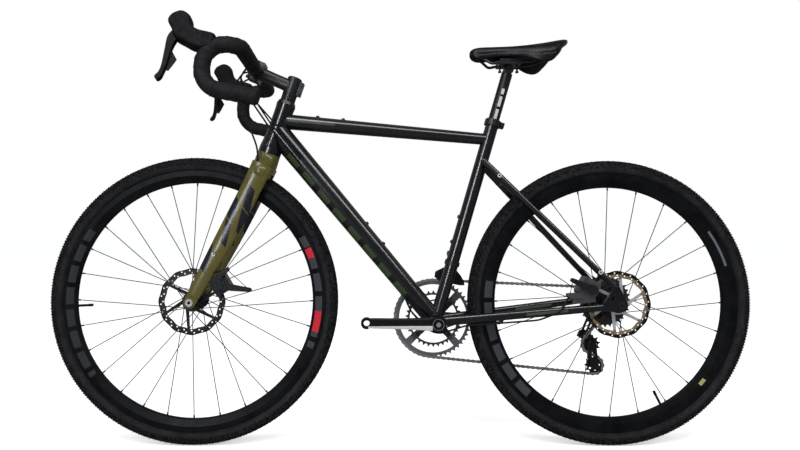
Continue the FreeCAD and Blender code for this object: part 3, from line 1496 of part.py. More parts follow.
def fd_cage():
    side = [
        (84, 404), (100, 393), (146, 384), (159, 384), (158, 394), (150, 408), (136, 426), (108, 429),
        (86, 418)]
    y_in = OUTER_RING_Y - 5.2
    y_out = OUTER_RING_Y + 5.2
    over_teeth = disc(BB_X, BB_Z, pitch_r(OUTER_TEETH) + 5.5, y_out - 1.0, y_out + 3.0)
    plates = [prism(side, y_in - 1.2, y_in), prism(side, y_out, y_out + 1.2).cut(over_teeth)]
    bridge = Part.makeBox(24.0, y_out - y_in + 2.4, 2.4, V(FD_X - 14.0, y_in - 1.2, 424.0))
    tail = Part.makeBox(5.0, y_out - y_in + 2.4, 2.0, V(152.0, y_in - 1.2, 384.6))
    lugs = []
    for dx in (-14.0, 9.0):
        lugs.append(Part.makeBox(4.6, 10.0, 15.0, V(FD_X + dx, FD_LOW.y - 5.0, FD_LOW.z - 11.0)))
    floor = Part.makeBox(27.6, 16.0, 2.4, V(FD_X - 14.0, FD_LOW.y - 5.0, 424.0))
    pin = cyl(V(FD_X - 14, FD_LOW.y, FD_LOW.z), V(FD_X + 13.6, FD_LOW.y, FD_LOW.z), 2.0)
    return [fuse(plates + [bridge, tail, floor, pin] + lugs)]


# Saddle

SADDLE = (
    (165.0, 5.0, 967.0, 961.0), (171.0, 15.0, 973.5, 952.0), (188.0, 20.5, 977.5, 947.0),
    (222.0, 25.0, 978.5, 951.0), (262.0, 36.0, 978.5, 951.0), (298.0, 53.0, 979.5, 941.0),
    (325.0, 64.0, 982.0, 931.0), (350.0, 68.0, 985.5, 931.5), (372.0, 66.0, 989.5, 941.0),
    (388.0, 56.0, 993.0, 958.0), (399.0, 38.0, 994.5, 974.0), (405.0, 18.0, 992.5, 983.0))


def saddle_section(x, w, top, low):
    h = top - low
    half = [
        (0.0, low + h * 0.48), (w * 0.45, low + h * 0.40), (w * 0.82, low + h * 0.06), (w * 0.95, low),
        (w, low + h * 0.2), (w * 0.97, low + h * 0.55), (w * 0.82, low + h * 0.84),
        (w * 0.55, top - h * 0.03), (w * 0.25, top), (0.0, top - h * 0.02)]
    points = [V(x, y, z) for y, z in half]
    points += [V(x, -y, z) for y, z in half[1:-1][::-1]]
    return closed(points)


RAIL_R = 3.5
RAIL_Y = 22.0


def rail_points(s):
    return [
        V(178.0, s * 7.0, 962.0), V(216.0, s * RAIL_Y, 934.0), V(232.0, s * RAIL_Y, 938.0),
        V(318.0, s * RAIL_Y, 941.0), V(372.0, s * 33.0, 962.0)]


def rails():
    return [pipe(rail_points(s), [14.0, 26.0, 50.0], RAIL_R) for s in (-1, 1)]


def saddle():
    solid = skin([saddle_section(*row) for row in SADDLE])
    return [biggest(cut(solid, rails()))]


HEAD_MID = BB + SEAT_DIR * 648.0


def seatpost():
    bottom = BB + SEAT_DIR * 300.0
    top = BB + SEAT_DIR * 640.0
    shaft = cyl(bottom, top, POST_R)
    yoke = cyl(HEAD_MID - Y * 15.0, HEAD_MID + Y * 15.0, 11.0)
    cut_bore = cyl(bottom - SEAT_DIR, top - SEAT_DIR * 12, POST_R - 2.4)
    return [biggest(cut(fuse([shaft, yoke]), [cut_bore, cradle_block()]))]


RAIL_Z = 939.4


def cradle_block():
    return Part.makeBox(52.0, 56.0, 8.0, V(HEAD_MID.x - 25.0, -28.0, RAIL_Z - 6.0))


def saddle_clamp():
    low = Part.makeBox(52.0, 56.0, 6.0, V(HEAD_MID.x - 25.0, -28.0, RAIL_Z - 6.0))
    up = Part.makeBox(52.0, 56.0, 6.0, V(HEAD_MID.x - 25.0, -28.0, RAIL_Z + 1.0))
    bolts = []
    for x in (HEAD_MID.x - 20.5, HEAD_MID.x + 22.5):
        bolts.append(fuse([
            cyl(V(x, 0, RAIL_Z - 18.0), V(x, 0, RAIL_Z + 9.0), 2.5),
            cyl(V(x, 0, RAIL_Z - 22.0), V(x, 0, RAIL_Z - 18.0), 4.2)]))
    tools = rails() + bolts
    return [biggest(cut(low, tools)), biggest(cut(up, tools))] + bolts


# Assembly

def build():
    os.makedirs("parts", exist_ok=True)
    angle, pins, rest = solve_chain()
    front_cable = front_housing(0.0)
    cables = frame_housings(0.0)
    front_room = front_housing(0.3)
    rooms = frame_housings(0.3)
    left_rooms = [front_room, rooms[2]]
    right_rooms = [mirrored(rooms[0]), mirrored(rooms[1])]
    drop_right = dropout(1)
    drop_left = dropout(-1)

    export("head_tube", [head_tube()])
    export("top_tube", [top_tube()])
    down = down_tube(rooms)
    export("down_tube", [down])
    export("seat_tube", [seat_tube()])
    export("bottom_bracket_shell", [bottom_bracket_shell()])
    export("chainstays", chainstays(drop_right))
    export("seatstays", seatstays(drop_right))
    export("dropouts", [drop_left, drop_right])
    export("seat_clamp", seat_clamp())
    export("bottom_bracket_cups", bottom_bracket_cups())
    export("headset_bearings", headset_bearings())
    export("frame_bosses", frame_bosses([top_tube_loft(0), down_tube_loft(0), seat_envelope()]))
    export("rear_thru_axle", [thru_axle(REAR_X, DROP_OUT + 0.0, 4.0)])
    export("front_thru_axle", [thru_axle(FRONT_X, 60.0, 4.0)])
    export("front_derailleur_mount", fd_mount([rooms[2]]))
    export("chain", chain(pins))

    front_solids, hole, front_pivot = front_caliper(front_room)
    export("front_brake_caliper", front_solids)
    export("front_brake_arm", [brake_arm(front_pivot, FRONT_ARM_TIP)])
    rear_solids, hole, rear_pivot = rear_caliper(rooms[1])
    export("rear_brake_caliper", rear_solids)
    export("rear_brake_arm", [brake_arm(rear_pivot, REAR_ARM_TIP)])

    export("fork", [fork(front_room)])
    export("headset_spacers", headset_spacers())
    export("stem", stem())
    export("stem_faceplate", stem_faceplate())
    export("handlebar", [handlebar()])
    left_tape = bar_tape(left_rooms)
    right_tape = [mirrored(s) for s in bar_tape(right_rooms)]
    plug = bar_plug()
    export("bar_tape", left_tape + right_tape + [plug, mirrored(plug)])
    export("lever_hoods", [lever_hood(left_rooms), mirrored(lever_hood(right_rooms))])
    lever = flared(brake_lever())
    paddle = flared(shift_paddle())
    export("brake_lever_left", [lever])
    export("brake_lever_right", [mirrored(lever)])
    export("shift_paddle_left", [paddle])
    export("shift_paddle_right", [mirrored(paddle)])
    export("front_brake_cable", [front_cable, front_wire(front_pivot, 0.0)])
    export("control_cables", cables + [rear_wire(rear_pivot, 0.0)])

    build_wheel("front", FRONT_X, FRONT_SPOKES, FRONT_FLANGES, FRONT_FLANGE_R, 13.5, FRONT_RIM_IN, 183.0)
    build_wheel("rear", REAR_X, REAR_SPOKES, REAR_FLANGES, REAR_FLANGE_R, 15.0, REAR_RIM_IN, -63.0)

    export("cassette", cassette(pins))
    export("crank_right", crank_right())
    export("crank_left", crank_left())
    ring_phase = phase_for(pins, (BB_X, BB_Z), pitch_r(OUTER_TEETH))
    outer_ring = chainring(OUTER_TEETH, OUTER_RING_Y, ring_phase, -CRANK_TILT, 86.0, BOLT_CIRCLE)
    inner_ring = chainring(INNER_TEETH, INNER_RING_Y, 0.0, -CRANK_TILT, 60.0, BOLT_CIRCLE)
    export("outer_chainring", [outer_ring])
    export("inner_chainring", [inner_ring])
    export("rd_mount_knuckle", rd_mount_knuckle([rooms[0]]))
    export("rd_links", rd_links())
    export("rd_cage_knuckle", rd_cage_knuckle())
    export("rd_cage", rd_cage(angle))
    export("rd_guide_pulley", pulley(turned(GUIDE_OFFSET, angle), pins))
    export("rd_tension_pulley", pulley(turned(TENSION_OFFSET, angle), pins))
    export("fd_link", fd_link())
    export("fd_cage", fd_cage())

    export("saddle", saddle())
    export("saddle_rails", rails())
    export("seatpost", seatpost())
    export("saddle_clamp", saddle_clamp())


def build_wheel(name, x, count, flanges, flange_r, body_r, inner, valve_at):
    ends = spoke_ends(count, flanges, flange_r, inner, x)
    stem_solid = valve(x, inner, valve_at)
    export(name + "_tyre", [tyre(x)])
    export(name + "_rim", [fuse([rim(x, inner).cut(nipple_holes(ends)), stem_solid])])
    export(name + "_spokes", [spoke(*end) for end in ends])
    rotor_y = FRONT_ROTOR_Y if name == "front" else REAR_ROTOR_Y
    export(name + "_hub", [hub(x, flanges, flange_r, body_r, rotor_y, ends, name == "rear")])
    export(name + "_rotor", [rotor(x, rotor_y, 6)])


build()
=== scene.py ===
import math

import bmesh
import bpy
from mathutils import Matrix, Vector
from mathutils.bvhtree import BVHTree
from mathutils.kdtree import KDTree


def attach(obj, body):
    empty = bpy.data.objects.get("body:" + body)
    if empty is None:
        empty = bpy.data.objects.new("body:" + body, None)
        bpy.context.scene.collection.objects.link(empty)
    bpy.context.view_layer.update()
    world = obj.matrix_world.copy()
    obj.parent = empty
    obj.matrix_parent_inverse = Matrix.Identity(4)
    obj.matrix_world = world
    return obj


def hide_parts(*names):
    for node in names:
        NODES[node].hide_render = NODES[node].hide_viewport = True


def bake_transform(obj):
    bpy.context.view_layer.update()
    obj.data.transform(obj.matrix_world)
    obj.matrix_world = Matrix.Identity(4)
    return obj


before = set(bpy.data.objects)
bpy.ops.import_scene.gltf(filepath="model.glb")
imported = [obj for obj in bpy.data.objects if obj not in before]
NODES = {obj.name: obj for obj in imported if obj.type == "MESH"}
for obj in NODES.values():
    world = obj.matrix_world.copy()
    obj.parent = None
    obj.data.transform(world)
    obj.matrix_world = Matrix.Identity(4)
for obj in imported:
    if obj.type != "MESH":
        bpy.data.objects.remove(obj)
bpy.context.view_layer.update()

SCENE = bpy.context.scene

# Places in metres in the shared frame: axles, bottom bracket, bar, and the lines of the tubes
AXLE_Z = 0.349
FRONT_X = -0.508
REAR_X = 0.508
BB_X = 0.080
BB_Z = 0.300
BAR_X = -0.3657
BAR_Z = 0.9136
TT_FRONT = Vector((-0.3053, 0.0, 0.7910))
TT_DIR = Vector((0.9968, 0.0, -0.0803))
TT_NORMAL = Vector((0.0803, 0.0, 0.9968))
TT_LENGTH = 0.475
DT_FRONT = Vector((-0.3137, 0.0, 0.7659))
DT_DIR = Vector((0.6455, 0.0, -0.7638))
DT_NORMAL = Vector((0.7638, 0.0, 0.6455))
DT_LENGTH = 0.610
STAY_FRONT = Vector((0.094, 0.024, 0.302))
STAY_REAR = Vector((0.466, 0.075, 0.344))
STAY_NORMAL = Vector((-0.1122, 0.0, 0.9937))
SEATSTAY_TOP = Vector((0.196, 0.021, 0.692))
SEATSTAY_LOW = Vector((0.496, 0.075, 0.390))
SEAT_LOW = Vector((BB_X, 0.0, BB_Z))
SEAT_DIR = Vector((0.2788, 0.0, 0.9603))
SEAT_ACROSS = Vector((0.9603, 0.0, -0.2788))

# Screw eyes: x, z, radius of the bare ring, and how far from the middle plane it starts
SEATSTAY_EYELETS = ((0.231, 0.6568, 0.0053, 0.0358), (0.460, 0.4262, 0.0053, 0.0770))
FORK_EYELET = (-0.4534, 0.4630, 0.0048, 0.0)
BARE_METAL = (0.36, 0.36, 0.35)


# Materials

class Finish:
    """A node material whose colour, roughness and relief vary over the piece."""

    def __init__(self, name, colour, rough, metal=0.0, specular=0.25):
        self.material = bpy.data.materials.new(name)
        self.material.use_nodes = True
        self.material.diffuse_color = (*colour, 1.0)
        self.tree = self.material.node_tree
        self.bsdf = self.tree.nodes["Principled BSDF"]
        self.bsdf.inputs["Metallic"].default_value = metal
        self.bsdf.inputs["Specular IOR Level"].default_value = specular
        self.place = self.add("ShaderNodeTexCoord").outputs["Object"]
        split = self.add("ShaderNodeSeparateXYZ")
        self.tree.links.new(self.place, split.inputs[0])
        self.x, self.y, self.z = split.outputs
        self.colour = colour
        self.rough = rough
        self.relief = None

    def add(self, kind):
        return self.tree.nodes.new(kind)

    def put(self, value, socket):
        if isinstance(value, bpy.types.NodeSocket):
            self.tree.links.new(value, socket)
        elif isinstance(value, tuple) and len(value) == 3 and socket.type == "RGBA":
            socket.default_value = (*value, 1.0)
        else:
            socket.default_value = value

    def calc(self, op, a, b=0.0):
        node = self.add("ShaderNodeMath")
        node.operation = op
        self.put(a, node.inputs[0])
        self.put(b, node.inputs[1])
        return node.outputs[0]

    def vector(self, op, a, b=None, scale=None):
        node = self.add("ShaderNodeVectorMath")
        node.operation = op
        self.put(a, node.inputs[0])
        if b is not None:
            self.put(b, node.inputs[1])
        if scale is not None:
            self.put(scale, node.inputs["Scale"])
        return node.outputs["Value"] if op in ("DOT_PRODUCT", "LENGTH") else node.outputs[0]

    def triple(self, x, y, z):
        node = self.add("ShaderNodeCombineXYZ")
        for value, socket in zip((x, y, z), node.inputs):
            self.put(value, socket)
        return node.outputs[0]

    def noise(self, scale, detail=3.0, stretch=None):
        """Cloudy pattern; stretch scales the place on each axis first."""
        place = self.place
        if stretch:
            mapping = self.add("ShaderNodeMapping")
            mapping.inputs["Scale"].default_value = stretch
            self.put(place, mapping.inputs["Vector"])
            place = mapping.outputs[0]
        node = self.add("ShaderNodeTexNoise")
        node.inputs["Scale"].default_value = scale
        node.inputs["Detail"].default_value = detail
        self.put(place, node.inputs["Vector"])
        return node.outputs["Fac"]

    def cells(self, scale):
        """Distance from the middle of the nearest cell of a cell pattern."""
        node = self.add("ShaderNodeTexVoronoi")
        node.inputs["Scale"].default_value = scale
        self.put(self.place, node.inputs["Vector"])
        return node.outputs["Distance"]

    def spread(self, value, low, high, at_low=0.0, at_high=1.0):
        node = self.add("ShaderNodeMapRange")
        self.put(value, node.inputs["Value"])
        node.inputs["From Min"].default_value = low
        node.inputs["From Max"].default_value = high
        node.inputs["To Min"].default_value = at_low
        node.inputs["To Max"].default_value = at_high
        return node.outputs[0]

    def mix(self, share, a, b):
        """Mix of two colours; sockets 6 and 7, and 2 of the outputs, are the node's colours."""
        node = self.add("ShaderNodeMix")
        node.data_type = "RGBA"
        self.put(share, node.inputs[0])
        self.put(a, node.inputs[6])
        self.put(b, node.inputs[7])
        return node.outputs[2]

    def between(self, value, low, high):
        return self.both(self.calc("GREATER_THAN", value, low), self.calc("LESS_THAN", value, high))

    def both(self, *masks):
        out = masks[0]
        for mask in masks[1:]:
            out = self.calc("MULTIPLY", out, mask)
        return out

    def along(self, origin, direction):
        """Distance of the shaded point from origin along direction."""
        run = self.vector("DOT_PRODUCT", self.place, tuple(direction))
        return self.calc("SUBTRACT", run, origin.dot(direction))

    def tube(self, start, end, flat=(1.0, 1.0), reach=1.0):
        """Even normal round a straight tube, or a mirrored pair of tubes, within reach of its line.

        flat is the squared ratio of height to width at the start and at the end."""
        way = (end - start).normalized()
        folded = self.triple(self.x, self.calc("ABSOLUTE", self.y), self.z)
        away = self.vector("SUBTRACT", folded, tuple(start))
        run = self.vector("DOT_PRODUCT", away, tuple(way))
        out = self.vector("SUBTRACT", away, self.vector("SCALE", tuple(way), scale=run))
        shape = self.spread(run, 0.0, (end - start).length, flat[0], flat[1])
        turn = self.triple(1.0, self.calc("MULTIPLY", self.calc("SIGN", self.y), shape), 1.0)
        even = self.vector("NORMALIZE", self.vector("MULTIPLY", out, turn))
        near = self.calc("LESS_THAN", self.vector("LENGTH", out), reach)
        # Sockets 4 and 5, and 1 of the outputs, are this node's vectors
        pick = self.add("ShaderNodeMix")
        pick.data_type = "VECTOR"
        self.put(near, pick.inputs[0])
        self.put(self.add("ShaderNodeNewGeometry").outputs["Normal"], pick.inputs[4])
        self.put(even, pick.inputs[5])
        self.relief = pick.outputs[1]

    def from_axis(self, x, z):
        """Distance of the shaded point from a line along y."""
        dx = self.calc("SUBTRACT", self.x, x)
        dz = self.calc("SUBTRACT", self.z, z)
        squares = self.calc("ADD", self.calc("MULTIPLY", dx, dx), self.calc("MULTIPLY", dz, dz))
        return self.calc("SQRT", squares)

    def ring(self, x, z, radius, beyond):
        """Bare metal round a screw eye, on faces farther from the middle plane than beyond."""
        outside = self.calc("GREATER_THAN", self.calc("ABSOLUTE", self.y), beyond)
        self.paint(self.both(self.calc("LESS_THAN", self.from_axis(x, z), radius), outside), BARE_METAL)

    def vary(self, amount, scale):
        """Uneven tone over the whole piece."""
        dark = tuple(c * (1.0 - amount) for c in self.colour)
        light = tuple(min(1.0, c * (1.0 + amount) + 0.002) for c in self.colour)
        self.colour = self.mix(self.spread(self.noise(scale), 0.3, 0.7), dark, light)

    def polish(self, scale, low, high, stretch=None):
        """Roughness that wanders between low and high."""
        self.rough = self.spread(self.noise(scale, 4.0, stretch), 0.3, 0.7, low, high)

    def grain(self, value, strength, distance=0.0004):
        """Fine relief, laid over the relief so far."""
        bump = self.add("ShaderNodeBump")
        bump.inputs["Strength"].default_value = strength
        bump.inputs["Distance"].default_value = distance
        self.put(value, bump.inputs["Height"])
        if self.relief is not None:
            self.tree.links.new(self.relief, bump.inputs["Normal"])
        self.relief = bump.outputs[0]

    def scuff(self, tone, share, scale=60.0):
        """Fine marks from use, in patches."""
        lines = self.spread(self.noise(scale, 6.0, (1.0, 7.0, 3.0)), 0.62, 0.72)
        patch = self.spread(self.noise(9.0, 2.0), 0.45, 0.65)
        self.paint(self.calc("MULTIPLY", self.both(lines, patch), share), tone)

    def dust(self, tone=(0.19, 0.17, 0.14), share=0.02, scale=130.0):
        specks = self.spread(self.noise(scale, 5.0), 0.55, 0.8)
        self.paint(self.calc("MULTIPLY", specks, share), tone)

    def paint(self, mask, colour):
        self.colour = self.mix(mask, self.colour, colour)

    def done(self):
        self.put(self.colour, self.bsdf.inputs["Base Color"])
        self.put(self.rough, self.bsdf.inputs["Roughness"])
        if self.relief is not None:
            self.tree.links.new(self.relief, self.bsdf.inputs["Normal"])
        return self.material


DASH_PITCH = 0.058


def gloss_black(name):
    f = Finish(name, (0.0012, 0.0013, 0.0022), 0.22, specular=0.9)
    f.vary(0.3, 14.0)
    f.polish(30.0, 0.19, 0.24)
    f.dust(share=0.015)
    return f


def down_tube_paint():
    f = gloss_black("frame_gloss_black_dashes")
    f.tube(DT_FRONT, DT_FRONT + DT_DIR * DT_LENGTH, flat=(1.361, 0.879))
    run = f.along(DT_FRONT, DT_DIR)
    rise = f.along(DT_FRONT, DT_NORMAL)
    step = f.calc("FRACT", f.calc("MULTIPLY", run, 1.0 / DASH_PITCH))
    dash = f.both(
        f.between(run, DASH_PITCH, 9.0 * DASH_PITCH), f.between(step, 0.12, 0.80),
        f.between(rise, -0.0215, -0.0085))
    f.paint(dash, (0.022, 0.040, 0.012))
    return f.done()


def top_tube_paint():
    f = gloss_black("frame_gloss_black_strip")
    f.tube(TT_FRONT, TT_FRONT + TT_DIR * TT_LENGTH)
    rise = f.along(TT_FRONT, TT_NORMAL)
    f.paint(f.both(f.between(f.x, -0.285, -0.170), f.between(rise, -0.002, 0.005)), (0.036, 0.046, 0.024))
    return f.done()


def stay_paint():
    f = gloss_black("frame_gloss_black_stay")
    f.tube(STAY_FRONT, STAY_REAR, flat=(2.5, 1.6))
    rise = f.along(STAY_FRONT, STAY_NORMAL)
    f.paint(f.both(f.between(f.x, 0.290, 0.385), f.between(rise, -0.003, 0.003)), (0.040, 0.052, 0.026))
    return f.done()


def seatstay_paint():
    f = gloss_black("frame_gloss_black_seatstay")
    f.tube(SEATSTAY_TOP, SEATSTAY_LOW, reach=0.0088)
    for eyelet in SEATSTAY_EYELETS:
        f.ring(*eyelet)
    return f.done()


# Dark slashes on the fork: bounds across the blade, then bounds of their slanted ends
FORK_SLASHES = (
    (-0.444, -0.425, 0.025, 0.101), (-0.444, -0.425, -0.058, 0.020),
    (-0.475, -0.458, -0.051, 0.025), (-0.475, -0.458, -0.130, -0.056),
    (-0.506, -0.489, -0.260, -0.165))


def fork_paint():
    f = Finish("fork_olive", (0.072, 0.063, 0.014), 0.3, specular=0.4)
    f.vary(0.16, 16.0)
    f.polish(40.0, 0.18, 0.26)
    f.grain(f.noise(800.0, 2.0), 0.02)
    across = f.calc("SUBTRACT", f.x, f.calc("MULTIPLY", f.calc("SUBTRACT", f.z, AXLE_Z), 0.25))
    ends = f.calc("ADD", f.z, f.calc("MULTIPLY", f.x, 1.43))
    for left, right, low, high in FORK_SLASHES:
        f.paint(f.both(f.between(across, left, right), f.between(ends, low, high)), (0.008, 0.009, 0.014))
    f.ring(*FORK_EYELET)
    f.dust(share=0.04)
    return f.done()


def alloy(name, colour, low, high, metal=0.0, specular=0.3, scuffs=0.06):
    f = Finish(name, colour, low, metal=metal, specular=specular)
    f.vary(0.28, 24.0)
    f.polish(90.0, low, high)
    f.grain(f.noise(700.0), 0.10, 0.0002)
    f.scuff(tuple(min(1.0, c * 2.2 + 0.03) for c in colour), scuffs)
    return f


def brushed(name, colour, low, high, stretch, metal):
    f = Finish(name, colour, low, metal=metal, specular=0.5)
    f.vary(0.18, 40.0)
    f.polish(240.0, low, high, stretch)
    f.grain(f.noise(500.0, 3.0, stretch), 0.18, 0.0002)
    f.scuff(tuple(c * 0.45 for c in colour), 0.3)
    return f


def drive_steel():
    f = brushed("drive_steel", (0.21, 0.21, 0.215), 0.28, 0.46, (1.0, 0.2, 1.0), 0.5)
    f.dust((0.02, 0.018, 0.015), 0.5, 220.0)
    return f.done()


def ring_grey(name, colour):
    f = alloy(name, colour, 0.26, 0.40, metal=0.6, specular=0.3)
    f.dust((0.03, 0.028, 0.025), 0.3, 160.0)
    return f.done()


def rotor_finish(name, x, track, carrier, edge, outer):
    """Brake disc: carrier inside edge, brake track, and a last ring of its own from outer."""
    f = Finish(name, track, 0.3, metal=0.55, specular=0.4)
    radius = f.from_axis(x, AXLE_Z)
    rings = f.calc("SINE", f.calc("MULTIPLY", radius, 9000.0))
    f.vary(0.2, 60.0)
    f.paint(f.calc("LESS_THAN", radius, edge), carrier)
    f.paint(f.calc("GREATER_THAN", radius, outer), (0.012, 0.011, 0.010))
    f.polish(160.0, 0.24, 0.42)
    f.grain(rings, 0.06, 0.0001)
    f.scuff((0.5, 0.48, 0.45), 0.25, 90.0)
    return f.done()


BLOCK_GAP = 0.22
TURN_SHIFT = 3.0


def rim_finish(name, x, blocks):
    """Satin black rim with plain blocks.

    Each row of blocks: middle and half angle in degrees, inner and outer radius, count, colour."""
    f = Finish(name, (0.0022, 0.0024, 0.0034), 0.4, specular=0.09)
    f.vary(0.3, 18.0)
    f.polish(70.0, 0.34, 0.46)
    f.grain(f.noise(1000.0, 2.0), 0.06, 0.0002)
    dx = f.calc("SUBTRACT", f.x, x)
    dz = f.calc("SUBTRACT", f.z, AXLE_Z)
    radius = f.from_axis(x, AXLE_Z)
    for middle, half, inner, outer, count, colour in blocks:
        c = math.cos(math.radians(middle))
        s = math.sin(math.radians(middle))
        fore = f.calc("ADD", f.calc("MULTIPLY", dx, c), f.calc("MULTIPLY", dz, s))
        side = f.calc("SUBTRACT", f.calc("MULTIPLY", dz, c), f.calc("MULTIPLY", dx, s))
        turn = f.calc("ARCTAN2", side, fore)
        whole = f.between(turn, -math.radians(half), math.radians(half))
        counted = f.calc("MULTIPLY", f.calc("ADD", turn, TURN_SHIFT), count / math.radians(2 * half))
        gap = BLOCK_GAP if count > 1 else -1.0
        block = f.calc("GREATER_THAN", f.calc("FRACT", counted), gap)
        f.paint(f.both(whole, block, f.between(radius, inner, outer)), colour)
    f.dust()
    return f.done()


def tyre_rubber():
    f = Finish("tyre_rubber", (0.0095, 0.0095, 0.0105), 0.8, specular=0.12)
    f.vary(0.3, 30.0)
    radius = f.calc("MINIMUM", f.from_axis(FRONT_X, AXLE_Z), f.from_axis(REAR_X, AXLE_Z))
    # A darker cell network over the tread: painted shade in the gaps between the knobs
    painted_shade_gaps = f.calc("MULTIPLY", f.spread(f.cells(190.0), 0.30, 0.55), f.spread(radius, 0.327, 0.332))
    f.paint(painted_shade_gaps, (0.0020, 0.0020, 0.0024))
    f.polish(120.0, 0.70, 0.92)
    f.grain(f.cells(700.0), 0.35, 0.0004)
    f.grain(f.noise(1500.0, 2.0), 0.15, 0.0002)
    f.dust((0.080, 0.079, 0.077), 0.24, 210.0)
    return f.done()


def tape_fabric():
    f = Finish("bar_tape_fabric", (0.0052, 0.0052, 0.0060), 0.75, specular=0.16)
    f.vary(0.3, 50.0)
    f.polish(200.0, 0.58, 0.82)
    f.grain(f.cells(900.0), 0.35, 0.0004)
    f.grain(f.noise(400.0), 0.2, 0.0004)
    f.dust(share=0.025)
    return f.done()


def hood_rubber():
    f = Finish("hood_rubber", (0.0036, 0.0036, 0.0041), 0.7, specular=0.08)
    f.vary(0.25, 40.0)
    f.polish(150.0, 0.52, 0.74)
    f.grain(f.cells(1100.0), 0.2, 0.0003)
    f.dust()
    return f.done()


def saddle_leather():
    f = Finish("saddle_leather", (0.0028, 0.0028, 0.0034), 0.40, specular=0.18)
    f.vary(0.3, 26.0)
    f.polish(60.0, 0.26, 0.38)
    f.grain(f.cells(800.0), 0.2, 0.0003)
    f.grain(f.noise(180.0), 0.1, 0.0004)
    f.scuff((0.03, 0.03, 0.03), 0.12)
    return f.done()


def housing_plastic():
    f = Finish("cable_housing", (0.0055, 0.0055, 0.0060), 0.45, specular=0.12)
    f.vary(0.25, 40.0)
    f.polish(200.0, 0.36, 0.52)
    f.grain(f.noise(900.0), 0.12, 0.0002)
    return f.done()


CRANK_FACE_Y = -0.0550


def crank_finish():
    f = alloy("crank_gloss_black", (0.0042, 0.0044, 0.0050), 0.18, 0.28, specular=0.18, scuffs=0.1)
    outside = f.calc("LESS_THAN", f.y, CRANK_FACE_Y)
    strip = f.both(outside, f.between(f.x, -0.086, 0.066), f.between(f.z, 0.2800, 0.2972))
    f.paint(strip, (0.42, 0.41, 0.40))
    radius = f.from_axis(BB_X, BB_Z)
    f.paint(f.both(outside, f.between(radius, 0.0120, 0.0142)), (0.07, 0.07, 0.07))
    f.paint(f.both(outside, f.calc("LESS_THAN", radius, 0.0055)), (0.14, 0.14, 0.14))
    return f.done()


def axle_finish():
    f = alloy("axle_end_grey", (0.30, 0.30, 0.30), 0.30, 0.42, metal=0.4, specular=0.5)
    f.paint(f.calc("LESS_THAN", f.from_axis(FRONT_X, AXLE_Z), 0.0036), (0.004, 0.004, 0.004))
    return f.done()


POST_BLOCKS = ((0.520, 0.545), (0.552, 0.578), (0.584, 0.598))
POST_BLOCK_HALF = 0.0035


def post_finish():
    f = alloy("seatpost_black", (0.0050, 0.0050, 0.0056), 0.26, 0.38)
    run = f.along(SEAT_LOW, SEAT_DIR)
    across = f.along(SEAT_LOW, SEAT_ACROSS)
    near = f.calc("LESS_THAN", f.y, 0.0)
    column = f.both(near, f.between(across, -POST_BLOCK_HALF, POST_BLOCK_HALF))
    for low, high in POST_BLOCKS:
        f.paint(f.both(column, f.between(run, low, high)), (0.38, 0.38, 0.38))
    return f.done()


BLACK = alloy("black_alloy", (0.0050, 0.0050, 0.0058), 0.26, 0.38, specular=0.5).done()
SATIN = alloy("satin_black_part", (0.0050, 0.0050, 0.0056), 0.24, 0.34, specular=0.34).done()
DARK = alloy("dark_grey_part", (0.009, 0.009, 0.010), 0.24, 0.34, specular=0.40).done()
CALIPER = alloy("caliper_grey", (0.036, 0.036, 0.038), 0.24, 0.36, specular=0.5, scuffs=0.3).done()
GREY = alloy("grey_alloy", (0.11, 0.11, 0.115), 0.32, 0.45, metal=0.7, specular=0.5).done()
SPOKE = brushed("spoke_steel", (0.010, 0.010, 0.011), 0.30, 0.42, (1.0, 1.0, 1.0), 0.3).done()
DRIVE = drive_steel()
COGS = brushed("cassette_steel", (0.040, 0.040, 0.042), 0.28, 0.44, (1.0, 0.2, 1.0), 0.6).done()
OUTER_RING = ring_grey("outer_chainring_grey", (0.17, 0.172, 0.178))
INNER_RING = ring_grey("inner_chainring_dark", (0.075, 0.076, 0.080))
FRAME_PAINT = gloss_black("frame_gloss_black").done()
TYRE = tyre_rubber()
HOUSING = housing_plastic()
LEVER = alloy("lever_black", (0.0026, 0.0026, 0.0030), 0.34, 0.46, specular=0.06, scuffs=0.02).done()

BLOCK_GREY = (0.021, 0.022, 0.024)
RED = (0.40, 0.016, 0.028)
BLOCK_IN = 0.2935
BLOCK_OUT = 0.3100
FRONT_RIM = rim_finish("front_rim_satin", FRONT_X, (
    (181.5, 35.5, BLOCK_IN, BLOCK_OUT, 7, BLOCK_GREY),
    (4.5, 26.5, BLOCK_IN, BLOCK_OUT, 5, (0.034, 0.035, 0.038)),
    (-9.5, 4.8, BLOCK_IN, BLOCK_OUT, 1, RED),
    (22.7, 2.4, BLOCK_IN, BLOCK_OUT, 1, RED)))
REAR_RIM = rim_finish("rear_rim_satin", REAR_X, (
    (200.0, 30.0, 0.2900, 0.3095, 6, (0.034, 0.036, 0.042)),
    (26.4, 9.0, 0.2990, 0.3045, 1, (0.085, 0.090, 0.105)),
    (-40.6, 1.7, BLOCK_IN, 0.3020, 1, (0.26, 0.24, 0.10))))
FRONT_ROTOR = rotor_finish(
    "front_rotor_dark", FRONT_X, track=(0.022, 0.021, 0.020), carrier=(0.010, 0.010, 0.011),
    edge=0.058, outer=0.075)
# The bronze colour of the rear brake track is a painted reflection; the silver carrier is the disc's own
# colour
REAR_ROTOR = rotor_finish(
    "rear_rotor_bronze_painted_reflection", REAR_X, track=(0.26, 0.180, 0.105), carrier=(0.50, 0.50, 0.51),
    edge=0.060, outer=0.0715)

